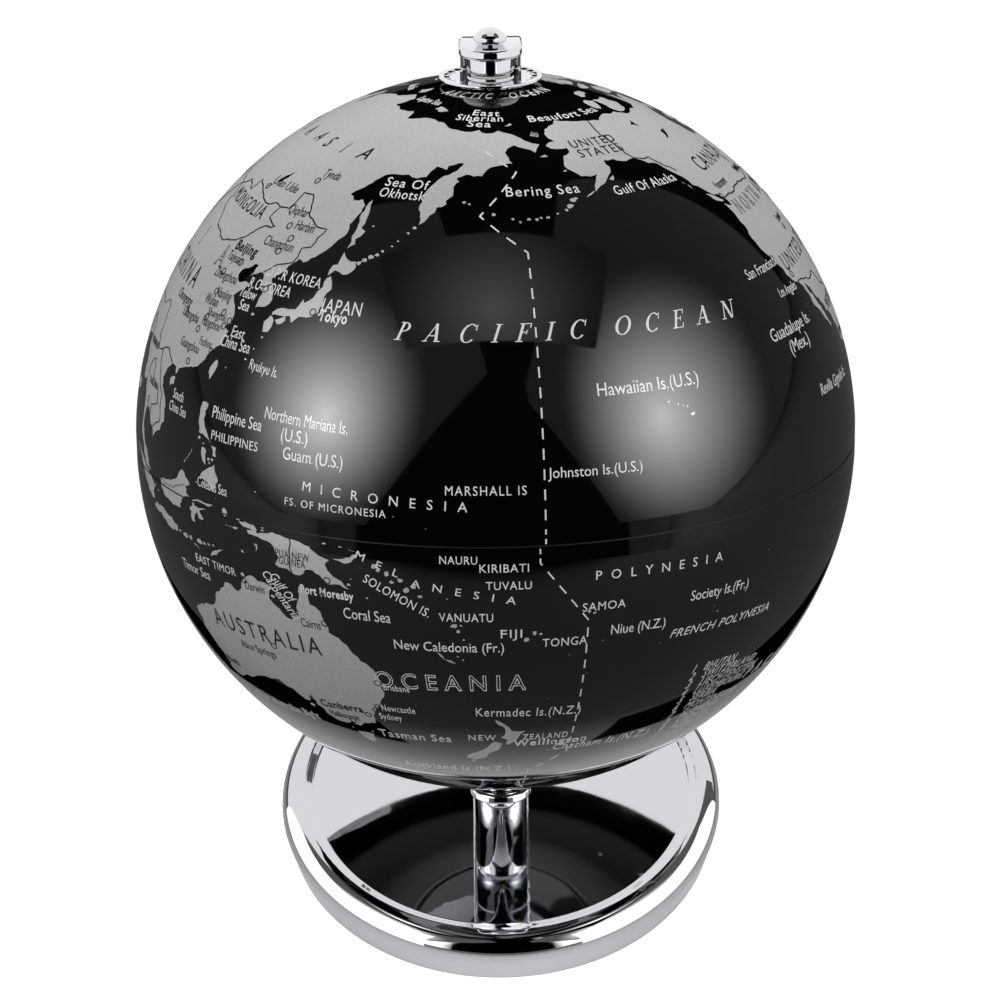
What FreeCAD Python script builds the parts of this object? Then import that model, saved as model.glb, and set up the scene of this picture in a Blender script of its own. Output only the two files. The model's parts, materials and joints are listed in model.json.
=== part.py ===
"""Desktop globe on a chrome stand, as a parametric FreeCAD document.

Frame: origin at the centre of the foot, +Z up, millimetres.  The polar axis leans towards +Y and
the arm passes behind the globe on that side.  Pieces on the polar axis are drawn along +Z and then
placed at the globe's centre, leaning north or turned south.
"""
import FreeCAD, Part
import math
import os

import Sketcher

V = FreeCAD.Vector

# Driving dimensions: alias, value, meaning.
SIZES = [
    ("globe_dia", 140, "outside of the printed ball"),
    ("belt_width", 6.4, "straight band round the equator"),
    ("seam_width", 0.3, "groove between the two printed skins"),
    ("skin_thick", 0.2, "printed film"),
    ("shell_thick", 1.4, "wall of each hemisphere"),
    ("joiner_width", 12, "ring inside the equator"),
    ("joiner_thick", 1.2, "its wall"),
    ("tilt", 23.5, "lean of the polar axis, degrees"),
    ("pole_gap", 4.6, "from the ball to the inside of the arm"),
    ("arm_thick", 2, "arm strip"),
    ("arm_width", 12, "arm strip, and diameter of its round ends"),
    ("arm_edge", 0.6, "rounding of the strip's long edges"),
    ("pin_dia", 3, "pole pins"),
    ("pin_reach", 8, "pin inside the ball"),
    ("pin_stub", 1.6, "pin inside its cap nut"),
    ("bush_dia", 5.6, "barrel of the pole bushes"),
    ("bush_flange_dia", 9, "flange inside the shell"),
    ("bush_flange_thick", 1, "that flange"),
    ("spacer_dia", 8.6, "sleeve under each end of the arm"),
    ("spacer_chamfer", 0.3, "its edges"),
    ("washer_dia", 7.4, "nylon washers at the poles"),
    ("dial_washer_thick", 0.4, "friction washer over the dial"),
    ("cap_dia", 6.6, "cap nut at its shoulder, before it is rounded"),
    ("cap_foot_dia", 4.8, "cap nut where it meets the arm"),
    ("cap_shoulder", 1.4, "height of the shoulder"),
    ("cap_height", 3.3, "cap nut"),
    ("cap_round", 0.9, "rounding of the shoulder"),
    ("dial_dia", 19.8, "hour dial"),
    ("dial_step_dia", 17, "step under the dial's edge"),
    ("dial_edge", 0.6, "dial's edge, down to the step"),
    ("dial_top", 0.55, "flat of the dial over the ball's pole"),
    ("dial_relief", 0.25, "raised rim, hub and hour marks"),
    ("dial_rim", 1, "width of the raised rim"),
    ("dial_round", 0.2, "rounding of the dial's edge"),
    ("dial_hub_dia", 8.8, "raised hub"),
    ("mark_length", 1.1, "hour mark"),
    ("mark_width", 0.35, "hour mark"),
    ("foot_dia", 89.6, "base shell at its lower edge"),
    ("base_dia", 92.8, "base shell at its widest"),
    ("flare_height", 7, "height at which the side stands upright"),
    ("crest_dia", 83, "inner crest of the rim"),
    ("crest_height", 11.8, "height of the crest"),
    ("deck_dia", 79.4, "mirror deck"),
    ("deck_height", 10.8, "height of the deck"),
    ("rim_round", 4.4, "outer rounding of the rim"),
    ("crest_round", 1.5, "rounding of the crest and of the deck's edge"),
    ("base_wall", 1.2, "wall of the base shell"),
    ("foot_lift", 0.4, "shell clear of the ground"),
    ("pad_thick", 1, "foam pad"),
    ("cover_thick", 1, "bottom cover"),
    ("cover_gap", 0.4, "cover to shell, and weight to shell"),
    ("pad_step", 1, "pad edge inside the cover's edge"),
    ("seat_web", 1.5, "weight left under the deck at the bolt"),
    ("seat_bore_dia", 12, "counterbore for the bolt head"),
    ("post_dia", 11, "post"),
    ("post_length", 22.8, "deck to the arm"),
    ("post_chamfer", 0.5, "post ends"),
    ("bolt_dia", 5, "post bolt, M5"),
    ("bolt_grip", 9, "thread inside the post"),
    ("bolt_head_dia", 9.5, "button head"),
    ("bolt_head_flat_dia", 5.7, "flat of the button head"),
    ("bolt_head_height", 2.75, "button head"),
    ("hex_key", 3, "socket in the bolt head"),
    ("hex_depth", 1.5, "socket in the bolt head"),
    ("bolt_washer_dia", 10, "flat washer"),
    ("bolt_washer_thick", 1, "flat washer"),
    ("spring_dia", 9.2, "spring washer"),
    ("spring_thick", 1.3, "spring washer"),
    ("spring_slit", 0.8, "cut in the spring washer"),
    ("arm_screw_dia", 3, "countersunk screw in the arm, M3"),
    ("arm_screw_head", 6, "its head"),
    ("arm_screw_grip", 8, "thread inside the post"),
    ("screw_sink", 0.3, "its head below the inside of the arm"),
    ("slot_width", 0.8, "driver slot in the screws"),
    ("slot_depth", 0.6, "driver slot in the screws"),
    ("cover_screw_dia", 3, "cover screws, M3"),
    ("cover_screw_head", 4.6, "their heads"),
    ("cover_screw_grip", 4, "thread inside the weight"),
    ("cover_screw_circle", 56, "circle of the cover screws"),
    ("drill_past", 1, "holes drilled past their screws"),
    ("static_gap", 0.05, "radial room round a clamped thread or shank"),
    ("run_gap", 0.05, "radial room of a running fit"),
    ("face_gap", 0.05, "axial room between faces that turn"),
    ("ball_gap", 0.25, "dial and thrust washer over the ball"),
]
COVER_SCREWS = 3
HOUR_MARKS = 24


class Size:
    """A length with the formula on the sheet that gives it."""

    def __init__(self, value, text):
        self.value = value
        self.text = text

    def _join(self, other, sign, value):
        return Size(value, "(%s %s %s)" % (self.text, sign, as_size(other).text))

    def __add__(self, other):
        return self._join(other, "+", self.value + as_size(other).value)

    def __sub__(self, other):
        return self._join(other, "-", self.value - as_size(other).value)

    def __mul__(self, other):
        return self._join(other, "*", self.value * as_size(other).value)

    def __truediv__(self, other):
        return self._join(other, "/", self.value / as_size(other).value)

    def __neg__(self):
        return Size(-self.value, "(-1 * %s)" % self.text)


def as_size(number):
    if isinstance(number, Size):
        return number
    return Size(float(number), "(%g)" % number)


def leg(long_side, side):
    """The other short side of a right triangle."""
    value = math.sqrt(long_side.value ** 2 - side.value ** 2)
    return Size(value, "sqrt(%s ^ 2 - %s ^ 2)" % (long_side.text, side.text))


def make_sheet(doc):
    """Put the driving dimensions on the sheet and give them back as named sizes."""
    sheet = doc.addObject("Spreadsheet::Sheet", "Sizes")
    named = {}
    for row, (alias, value, meaning) in enumerate(SIZES, start=1):
        sheet.set("A%d" % row, meaning)
        sheet.set("B%d" % row, "%g" % value)
        sheet.setAlias("B%d" % row, alias)
        named[alias] = Size(float(value), "Sizes.%s" % alias)
    doc.recompute()
    return named


doc = FreeCAD.newDocument("DesktopGlobe")
S = make_sheet(doc)
ZERO = as_size(0)

# Places that several pieces share.
ball_radius = S["globe_dia"] / 2
shell_radius = ball_radius - S["skin_thick"]
hollow_radius = shell_radius - S["shell_thick"]
half_belt = S["belt_width"] / 2
ring_inner = ball_radius + S["pole_gap"]
ring_outer = ring_inner + S["arm_thick"]
post_top = S["deck_height"] + S["post_length"]
centre_height = post_top + ring_outer
arm_screw_top = post_top + S["arm_thick"] - S["screw_sink"]
pin_bore = S["pin_dia"] / 2 + S["static_gap"]
run_bore = S["pin_dia"] / 2 + S["run_gap"]
cover_top = S["pad_thick"] + S["cover_thick"]
deck_under = S["deck_height"] - S["base_wall"]
bolt_seat = deck_under - S["seat_web"]
bolt_bore = S["bolt_dia"] / 2 + S["static_gap"]
spacer_start = S["dial_top"] + S["dial_relief"] + S["face_gap"] + S["dial_washer_thick"]


# ---------------------------------------------------------------- helpers

def bind(thing, name, size):
    """Give a property its value from the sheet."""
    thing.setExpression(name, size.text)


def new_body(label):
    body = doc.addObject("PartDesign::Body", label)
    body.Label = label
    return body


def new_sketch(body, role, label):
    sketch = body.newObject("Sketcher::SketchObject", label)
    planes = [plane for plane in body.Origin.OriginFeatures if plane.Role == role]
    sketch.AttachmentSupport = [(planes[0], "")]
    sketch.MapMode = "FlatFace"
    return sketch


def fix_point(sketch, edge, end, across, up):
    """Hold one end of a line at two bound distances from the origin."""
    for kind, axis, size in (("DistanceX", -2, across), ("DistanceY", -1, up)):
        if size is ZERO:
            sketch.addConstraint(Sketcher.Constraint("PointOnObject", edge, end, axis))
            continue
        held = Sketcher.Constraint(kind, -1, 1, edge, end, size.value)
        number = sketch.addConstraint(held)
        sketch.setExpression("Constraints[%d]" % number, size.text)


def arc_between(first, last, middle):
    """A round stretch about (0, middle), and whether it runs from first to last."""
    turn = [math.atan2(p[1].value - middle, p[0].value) for p in (first, last)]
    radius = math.hypot(first[0].value, first[1].value - middle)
    circle = Part.Circle(V(0, middle, 0), V(0, 0, 1), radius)
    return Part.ArcOfCircle(circle, min(turn), max(turn)), turn[1] > turn[0]


def draw_outline(sketch, outline):
    """Draw a closed outline of (across, up) points.

    A third entry makes the stretch to the next point round, about that height on the up axis.
    """
    count = len(outline)
    starts, ends = [], []
    for place, point in enumerate(outline):
        after = outline[(place + 1) % count]
        forward = True
        if len(point) > 2:
            curve, forward = arc_between(point, after, point[2])
            sketch.addGeometry(curve, False)
            sketch.addConstraint(Sketcher.Constraint("PointOnObject", place, 3, -2))
        else:
            line = Part.LineSegment(V(point[0].value, point[1].value, 0),
                                    V(after[0].value, after[1].value, 0))
            sketch.addGeometry(line, False)
        starts.append(1 if forward else 2)
        ends.append(2 if forward else 1)
    for place in range(count):
        after = (place + 1) % count
        meet = Sketcher.Constraint("Coincident", place, ends[place], after, starts[after])
        sketch.addConstraint(meet)
        fix_point(sketch, place, starts[place], outline[place][0], outline[place][1])


def lathe(label, outline):
    """A body turned about Z from an outline of (radius, height) points."""
    body = new_body(label)
    sketch = new_sketch(body, "XZ_Plane", label + "_outline")
    draw_outline(sketch, outline)
    turned = body.newObject("PartDesign::Revolution", label + "_turned")
    turned.Profile = sketch
    turned.ReferenceAxis = (sketch, ["V_Axis"])
    turned.Angle = 360
    sketch.Visibility = False
    body.Tip = turned
    return body


def ring(label, inner, outer, low, high):
    return lathe(label, [(inner, low), (outer, low), (outer, high), (inner, high)])


def circles_at(shape, places):
    """Names of the circular edges with the given radius and height."""
    names = []
    for number, edge in enumerate(shape.Edges, start=1):
        if edge.Degenerated or not isinstance(edge.Curve, Part.Circle):
            continue
        curve = edge.Curve
        for radius, height in places:
            near = abs(curve.Radius - radius.value) < 1e-3
            if near and abs(curve.Center.z - height.value) < 1e-3:
                names.append("Edge%d" % number)
    return names


def round_circles(body, size, places):
    """Round the circular edges at the given (radius, height) places."""
    doc.recompute()
    base = body.Tip
    fillet = body.newObject("PartDesign::Fillet", base.Name + "_round")
    fillet.Base = (base, circles_at(base.Shape, places))
    bind(fillet, "Radius", size)
    body.Tip = fillet


def cylinder(label, radius, low, high, x=0, y=0):
    """A plain upright cylinder, used as a tool or a part."""
    rod = doc.addObject("Part::Cylinder", label)
    bind(rod, "Radius", radius)
    bind(rod, "Height", high - low)
    rod.Placement.Base = V(x, y, low.value)
    bind(rod, "Placement.Base.z", low)
    return rod


def cut(label, base, *tools):
    """The base less all the tools."""
    tool = tools[0]
    if len(tools) > 1:
        tool = doc.addObject("Part::MultiFuse", label + "_tools")
        tool.Shapes = list(tools)
    result = doc.addObject("Part::Cut", label)
    result.Label = label
    result.Base = base
    result.Tool = tool
    return result


def on_pole(part, south=False):
    """Place a piece drawn along +Z at the globe's centre, on the polar axis."""
    turn = as_size(180) - S["tilt"] if south else S["tilt"]
    axis = V(1, 0, 0) if south else V(-1, 0, 0)
    rotation = FreeCAD.Rotation(axis, turn.value)
    part.Placement = FreeCAD.Placement(V(0, 0, centre_height.value), rotation)
    bind(part, "Placement.Base.z", centre_height)
    bind(part, "Placement.Rotation.Angle", turn)
    return part


# ---------------------------------------------------------------- the ball

def hemisphere(label):
    """Moulded half ball: spherical, with a straight band at the equator and a pole hole."""
    hole = S["bush_dia"] / 2 + S["static_gap"]
    return lathe(label, [
        (hollow_radius, ZERO, 0),
        (hole, leg(hollow_radius, hole)),
        (hole, leg(shell_radius, hole), 0),
        (leg(shell_radius, half_belt), half_belt),
        (leg(shell_radius, half_belt), ZERO)])


def map_skin(label):
    """Printed film over one hemisphere, stopping at the seam groove."""
    hole = S["bush_dia"] / 2 + S["static_gap"]
    inside = leg(shell_radius, half_belt)
    outside = leg(ball_radius, half_belt)
    seam = S["seam_width"] / 2
    return lathe(label, [
        (inside, seam),
        (outside, seam),
        (outside, half_belt, 0),
        (hole, leg(ball_radius, hole)),
        (hole, leg(shell_radius, hole), 0),
        (inside, half_belt)])


def joining_ring():
    """Ring inside the equator that the two halves are glued over."""
    outer = hollow_radius - S["static_gap"]
    half = S["joiner_width"] / 2
    inner = leg(outer, half) - S["joiner_thick"]
    return lathe("joining_ring", [
        (inner, -half), (leg(outer, half), -half, 0), (leg(outer, half), half), (inner, half)])


def pole_bush(label):
    """Plastic bush in the pole hole, flanged inside the shell."""
    barrel = S["bush_dia"] / 2
    flange = S["bush_flange_dia"] / 2
    flange_top = leg(hollow_radius, flange) - S["static_gap"]
    low = shell_radius - S["pin_reach"]
    top = leg(shell_radius, barrel)
    return lathe(label, [
        (run_bore, low), (barrel, low), (barrel, flange_top - S["bush_flange_thick"]),
        (flange, flange_top - S["bush_flange_thick"]), (flange, flange_top),
        (barrel, flange_top), (barrel, top), (run_bore, top)])


# ---------------------------------------------------------------- pole fittings

def pole_pin(label):
    """Pin from inside the ball to inside the cap nut."""
    low = shell_radius - S["pin_reach"] + S["static_gap"]
    high = ring_outer + S["pin_stub"]
    radius = S["pin_dia"] / 2
    return lathe(label, [(ZERO, low), (radius, low), (radius, high), (ZERO, high)])


def pole_spacer(label):
    """Chamfered sleeve between the pole washer and the bent arm."""
    radius = S["spacer_dia"] / 2
    low = ball_radius + spacer_start
    high = leg(ring_inner, radius)
    small = radius - S["spacer_chamfer"]
    return lathe(label, [
        (pin_bore, low), (small, low), (radius, low + S["spacer_chamfer"]),
        (radius, high - S["spacer_chamfer"]), (small, high), (pin_bore, high)])


def middle_on_axis(first, last):
    """Height on the axis that is as far from one point as from the other."""
    (x0, y0), (x1, y1) = [(point[0].value, point[1].value) for point in (first, last)]
    return (x1 ** 2 + y1 ** 2 - x0 ** 2 - y0 ** 2) / (2 * (y1 - y0))


def cap_nut(label):
    """Button-shaped nut, narrower at its foot, blind bored for the pin."""
    foot = (S["cap_foot_dia"] / 2, ring_outer)
    shoulder = (S["cap_dia"] / 2, ring_outer + S["cap_shoulder"])
    apex = (ZERO, ring_outer + S["cap_height"])
    depth = ring_outer + S["pin_stub"] + S["static_gap"]
    body = lathe(label, [
        (pin_bore, ring_outer), foot + (middle_on_axis(foot, shoulder),),
        shoulder + (middle_on_axis(shoulder, apex),), apex, (ZERO, depth), (pin_bore, depth)])
    round_circles(body, S["cap_round"], [shoulder])
    return body


def dial_washer():
    low = ball_radius + S["dial_top"] + S["dial_relief"] + S["face_gap"]
    return ring("dial_friction_washer", run_bore, S["washer_dia"] / 2,
                low, ball_radius + spacer_start)


def thrust_washer():
    return ring("south_thrust_washer", run_bore, S["washer_dia"] / 2,
                ball_radius + S["ball_gap"], ball_radius + spacer_start)


def time_dial():
    """Stepped disc over the north pole: hollow under, with a raised rim, hub and hour marks."""
    edge = S["dial_dia"] / 2
    step = S["dial_step_dia"] / 2
    rim = edge - S["dial_rim"]
    hub = S["dial_hub_dia"] / 2
    under = ball_radius + S["ball_gap"]
    flat = ball_radius + S["dial_top"]
    top = flat + S["dial_relief"]
    body = lathe("time_dial", [
        (run_bore, leg(under, run_bore), 0), (step, leg(under, step)),
        (step, top - S["dial_edge"]), (edge, top - S["dial_edge"]), (edge, top), (rim, top),
        (rim, flat), (hub, flat), (hub, top), (run_bore, top)])
    round_circles(body, S["dial_round"], [(edge, top - S["dial_edge"]), (edge, top)])
    sketch = new_sketch(body, "XY_Plane", "hour_mark_outline")
    sketch.AttachmentOffset.Base.z = (flat - S["face_gap"]).value
    bind(sketch, "AttachmentOffset.Base.z", flat - S["face_gap"])
    half = S["mark_width"] / 2
    far = rim + S["face_gap"]
    near = rim - S["mark_length"]
    draw_outline(sketch, [(near, -half), (far, -half), (far, half), (near, half)])
    mark = body.newObject("PartDesign::Pad", "hour_mark")
    mark.Profile = sketch
    bind(mark, "Length", S["dial_relief"] + S["face_gap"])
    marks = body.newObject("PartDesign::PolarPattern", "hour_marks")
    marks.Originals = [mark]
    marks.Axis = (sketch, ["N_Axis"])
    marks.Angle = 360
    marks.Occurrences = HOUR_MARKS
    body.Tip = marks
    return body


# ---------------------------------------------------------------- the arm and the post

def arm_outline(sketch):
    """Half ring on the +Y side, carried straight on past each pole."""
    nose = -S["arm_width"] / 2
    for radius in (ring_inner, ring_outer):
        circle = Part.Circle(V(0, 0, 0), V(0, 0, 1), radius.value)
        sketch.addGeometry(Part.ArcOfCircle(circle, -math.pi / 2, math.pi / 2), False)
    for sign in (1, -1):
        inner = sign * ring_inner.value
        outer = sign * ring_outer.value
        corners = [V(0, inner, 0), V(nose.value, inner, 0), V(nose.value, outer, 0), V(0, outer, 0)]
        for first, last in zip(corners, corners[1:]):
            sketch.addGeometry(Part.LineSegment(first, last), False)
    add = sketch.addConstraint
    for place, radius in ((0, ring_inner), (1, ring_outer)):
        add(Sketcher.Constraint("Coincident", place, 3, -1, 1))
        number = add(Sketcher.Constraint("Radius", place, radius.value))
        sketch.setExpression("Constraints[%d]" % number, radius.text)
    for first, tip in ((2, 2), (5, 1)):
        add(Sketcher.Constraint("Coincident", first, 1, 0, tip))
        add(Sketcher.Constraint("Coincident", first + 2, 2, 1, tip))
        add(Sketcher.Constraint("PointOnObject", first, 1, -2))
        add(Sketcher.Constraint("PointOnObject", first + 2, 2, -2))
        for place in (first, first + 1):
            add(Sketcher.Constraint("Coincident", place, 2, place + 1, 1))
        add(Sketcher.Constraint("Horizontal", first))
        add(Sketcher.Constraint("Vertical", first + 1))
        add(Sketcher.Constraint("Horizontal", first + 2))
        held = Sketcher.Constraint("DistanceX", -1, 1, first, 2, nose.value)
        sketch.setExpression("Constraints[%d]" % add(held), nose.text)


def arm_strip():
    """The bent strip with round ends and softened edges."""
    body = new_body("arm_strip")
    sketch = new_sketch(body, "YZ_Plane", "arm_outline")
    arm_outline(sketch)
    strip = body.newObject("PartDesign::Pad", "arm_pad")
    strip.Profile = sketch
    strip.Midplane = True
    bind(strip, "Length", S["arm_width"])
    doc.recompute()
    corners = [number for number, edge in enumerate(strip.Shape.Edges, start=1)
               if edge.BoundBox.XLength < 1e-6 and edge.BoundBox.YLength < 1e-6
               and edge.BoundBox.YMax < -1e-3]
    noses = body.newObject("PartDesign::Fillet", "arm_noses")
    noses.Base = (strip, ["Edge%d" % number for number in corners])
    bind(noses, "Radius", S["arm_width"] / 2 - S["static_gap"])
    body.Tip = noses
    doc.recompute()
    faces = noses.Shape.Faces
    wide = [number for number, face in enumerate(faces, start=1)
            if isinstance(face.Surface, Part.Cylinder) and abs(face.Surface.Axis.x) > 0.99]
    names = ["Face%d" % number for number in wide]
    soft = body.newObject("PartDesign::Fillet", "arm_edges")
    soft.Base = (noses, names)
    bind(soft, "Radius", S["arm_edge"])
    body.Tip = soft
    return on_pole(body)


def arm_holes():
    """Tools for the pin holes at both poles and the countersunk hole over the post."""
    tools = []
    for label, south in (("north_hole", False), ("south_hole", True)):
        reach = ring_outer + S["arm_thick"]
        rod = lathe(label, [
            (ZERO, ball_radius), (pin_bore, ball_radius), (pin_bore, reach), (ZERO, reach)])
        tools.append(on_pole(rod, south))
    tools.append(countersink("arm_screw_hole", S["arm_screw_dia"] / 2, S["arm_screw_head"] / 2,
                             post_top - S["face_gap"], arm_screw_top, S["arm_thick"]))
    return tools


def countersink(label, shank, head, low, face, above):
    """Clearance for a countersunk screw whose head ends level with face."""
    bore = shank + S["static_gap"]
    wide = head + S["static_gap"]
    neck = face - (head - shank)
    return lathe(label, [
        (ZERO, low), (bore, low), (bore, neck), (wide, face), (wide, face + above),
        (ZERO, face + above)])


def countersunk_screw(label, shank, head, low, face):
    """Slotted countersunk screw, head upwards, its top at the height of face."""
    neck = face - (head - shank)
    return lathe(label, [
        (ZERO, low), (shank, low), (shank, neck), (head, face), (ZERO, face)])


def meridian_arm():
    return cut("meridian_arm", arm_strip(), *arm_holes())


def slot_cutter(label, length, low):
    """A straight bar that cuts a driver slot."""
    bar = doc.addObject("Part::Box", label)
    bind(bar, "Length", length)
    bind(bar, "Width", S["slot_width"])
    bind(bar, "Height", S["slot_depth"] * 2)
    bind(bar, "Placement.Base.x", -length / 2)
    bind(bar, "Placement.Base.y", -S["slot_width"] / 2)
    bind(bar, "Placement.Base.z", low)
    return bar


def arm_screw():
    screw = countersunk_screw("arm_screw_blank", S["arm_screw_dia"] / 2, S["arm_screw_head"] / 2,
                              post_top - S["arm_screw_grip"], arm_screw_top)
    slot = slot_cutter("arm_screw_slot", S["arm_screw_head"] * 2, arm_screw_top - S["slot_depth"])
    return cut("arm_screw", screw, slot)


def post():
    """Round post, tapped at both ends, its top hollowed to seat the arm."""
    radius = S["post_dia"] / 2
    low = S["deck_height"]
    bolt_depth = low + S["bolt_grip"] + S["drill_past"]
    screw_depth = post_top - S["arm_screw_grip"] - S["drill_past"]
    screw_bore = S["arm_screw_dia"] / 2 + S["static_gap"]
    body = lathe("post_blank", [
        (bolt_bore, low), (radius - S["post_chamfer"], low), (radius, low + S["post_chamfer"]),
        (radius, post_top - S["post_chamfer"]), (radius - S["post_chamfer"], post_top),
        (screw_bore, post_top), (screw_bore, screw_depth), (ZERO, screw_depth),
        (ZERO, bolt_depth), (bolt_bore, bolt_depth)])
    saddle = doc.addObject("Part::Cylinder", "post_saddle")
    bind(saddle, "Radius", ring_outer + S["face_gap"])
    bind(saddle, "Height", S["post_dia"] * 2)
    saddle.Placement = FreeCAD.Placement(V(0, 0, centre_height.value),
                                         FreeCAD.Rotation(V(0, 1, 0), 90))
    bind(saddle, "Placement.Base.x", -S["post_dia"])
    bind(saddle, "Placement.Base.z", centre_height)
    return cut("post", body, saddle)


# ---------------------------------------------------------------- the base

def base_shell():
    """Shell with a flared side, a round rim, a crest, and a sunk flat deck with the bolt hole."""
    foot = S["foot_dia"] / 2
    wide = S["base_dia"] / 2
    crest = S["crest_dia"] / 2
    deck = S["deck_dia"] / 2
    wall = S["base_wall"]
    body = lathe("base_shell", [
        (foot - wall, S["foot_lift"]), (foot, S["foot_lift"]), (wide, S["flare_height"]),
        (wide, S["crest_height"]), (crest, S["crest_height"]), (deck, S["deck_height"]),
        (bolt_bore, S["deck_height"]), (bolt_bore, deck_under), (deck, deck_under),
        (crest, S["crest_height"] - wall), (wide - wall, S["flare_height"])])
    round_circles(body, S["rim_round"], [(wide, S["crest_height"])])
    round_circles(body, S["crest_round"], [
        (crest, S["crest_height"]), (deck, S["deck_height"])])
    return body


def screw_places():
    """Centres of the cover screws, as (x, y) on their circle."""
    radius = S["cover_screw_circle"] / 2
    for number in range(COVER_SCREWS):
        angle = 360.0 * number / COVER_SCREWS + 90
        yield (radius * as_size(math.cos(math.radians(angle))),
               radius * as_size(math.sin(math.radians(angle))))


def at_screws(parts):
    """Move each of the parts to its place on the screw circle."""
    for part, (x, y) in zip(parts, screw_places()):
        bind(part, "Placement.Base.x", x)
        bind(part, "Placement.Base.y", y)
    return parts


def base_weight():
    """Steel ballast disc, counterbored for the bolt head, tapped for the cover screws."""
    outer = S["deck_dia"] / 2 - S["cover_gap"]
    seat_bore = S["seat_bore_dia"] / 2
    disc = lathe("weight_blank", [
        (seat_bore, cover_top), (outer, cover_top), (outer, deck_under), (bolt_bore, deck_under),
        (bolt_bore, bolt_seat), (seat_bore, bolt_seat)])
    bore = S["cover_screw_dia"] / 2 + S["static_gap"]
    depth = cover_top + S["cover_screw_grip"] + S["drill_past"]
    holes = [cylinder("weight_hole_%d" % number, bore, ZERO, depth)
             for number in range(COVER_SCREWS)]
    return cut("base_weight", disc, *at_screws(holes))


def bottom_cover():
    """Flat steel disc that closes the base, with countersunk holes from below."""
    outer = S["foot_dia"] / 2 - S["base_wall"] - S["cover_gap"]
    disc = cylinder("cover_blank", outer, S["pad_thick"], cover_top)
    holes = []
    for number in range(COVER_SCREWS):
        shank = S["cover_screw_dia"] / 2 + S["static_gap"]
        head = S["cover_screw_head"] / 2 + S["static_gap"]
        low = S["pad_thick"]
        holes.append(lathe("cover_hole_%d" % number, [
            (ZERO, ZERO), (head, ZERO), (head, low), (shank, low + head - shank),
            (shank, cover_top + S["drill_past"]), (ZERO, cover_top + S["drill_past"])]))
    return cut("base_bottom_cover", disc, *at_screws(holes))


def cover_screws():
    """Three slotted countersunk screws, heads down, as one group."""
    screws = []
    low = S["pad_thick"]
    for number in range(COVER_SCREWS):
        shank = S["cover_screw_dia"] / 2
        head = S["cover_screw_head"] / 2
        high = cover_top + S["cover_screw_grip"]
        blank = lathe("cover_screw_%d" % number, [
            (ZERO, low), (head, low), (shank, low + head - shank), (shank, high), (ZERO, high)])
        slot = slot_cutter("cover_screw_slot_%d" % number, S["cover_screw_head"] * 2,
                           low - S["slot_depth"])
        screws.append(cut("slotted_%d" % number, blank, slot))
    group = doc.addObject("Part::Compound", "cover_screws")
    group.Label = "cover_screws"
    group.Links = at_screws(screws)
    return group


def foot_pad():
    """Foam disc under the cover: the face that the globe stands on."""
    outer = S["foot_dia"] / 2 - S["base_wall"] - S["cover_gap"] - S["pad_step"]
    return cylinder("foot_pad", outer, ZERO, S["pad_thick"])


def post_washers():
    """Flat and spring washer under the bolt head."""
    middle = bolt_seat - S["bolt_washer_thick"]
    low = middle - S["spring_thick"]
    flat = ring("post_flat_washer", bolt_bore, S["bolt_washer_dia"] / 2, middle, bolt_seat)
    coil = ring("spring_blank", bolt_bore, S["spring_dia"] / 2, low, middle)
    slit = doc.addObject("Part::Box", "spring_slit")
    bind(slit, "Length", S["spring_dia"])
    bind(slit, "Width", S["spring_slit"])
    bind(slit, "Height", S["spring_thick"] * 3)
    bind(slit, "Placement.Base.z", low - S["spring_thick"])
    return [flat, cut("post_spring_washer", coil, slit)]


def post_bolt():
    """Button-head bolt from below, through the deck and into the post."""
    head_top = bolt_seat - S["bolt_washer_thick"] - S["spring_thick"]
    head_low = head_top - S["bolt_head_height"]
    shank = S["bolt_dia"] / 2
    head = S["bolt_head_dia"] / 2
    top = S["deck_height"] + S["bolt_grip"]
    blank = lathe("bolt_blank", [
        (ZERO, head_low), (S["bolt_head_flat_dia"] / 2, head_low),
        (head, head_top - S["bolt_head_height"] / 2),
        (head, head_top), (shank, head_top), (shank, top), (ZERO, top)])
    socket = doc.addObject("Part::Prism", "bolt_socket")
    socket.Polygon = 6
    bind(socket, "Circumradius", S["hex_key"] / 2 / math.cos(math.pi / 6))
    bind(socket, "Height", S["hex_depth"] * 2)
    bind(socket, "Placement.Base.z", head_low - S["hex_depth"])
    return cut("post_bolt", blank, socket)


# ---------------------------------------------------------------- build and write

def build():
    """Every sub-part, in the order in which it would be put together."""
    parts = [foot_pad(), bottom_cover(), cover_screws(), base_weight(), base_shell()]
    parts += [post_bolt()] + post_washers() + [post(), arm_screw(), meridian_arm()]
    for pole, south in (("north", False), ("south", True)):
        parts.append(on_pole(hemisphere(pole + "_hemisphere"), south))
        parts.append(on_pole(map_skin(pole + "_map_skin"), south))
        parts.append(on_pole(pole_bush(pole + "_pole_bush"), south))
        parts.append(on_pole(pole_pin(pole + "_pin"), south))
        parts.append(on_pole(pole_spacer(pole + "_spacer"), south))
        parts.append(on_pole(cap_nut(pole + "_cap_nut"), south))
    parts.append(on_pole(joining_ring()))
    parts.append(on_pole(time_dial()))
    parts.append(on_pole(dial_washer()))
    parts.append(on_pole(thrust_washer(), True))
    return parts


def check_and_write(parts):
    """Refuse a failed object or a broken shape, then write one file per sub-part."""
    doc.recompute()
    for thing in doc.Objects:
        if "Invalid" in thing.State or "Error" in thing.State:
            raise RuntimeError("%s failed: %s" % (thing.Label, thing.State))
    for part in parts:
        if part.Shape.isNull() or not part.Shape.isValid():
            raise RuntimeError("%s has no valid shape" % part.Label)
    os.makedirs("parts", exist_ok=True)
    for part in parts:
        part.Shape.exportStep(os.path.join("parts", part.Label + ".step"))
        print("%-22s %9.1f mm3  %d solid(s)" % (part.Label, part.Shape.Volume,
                                                len(part.Shape.Solids)))


check_and_write(build())
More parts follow.
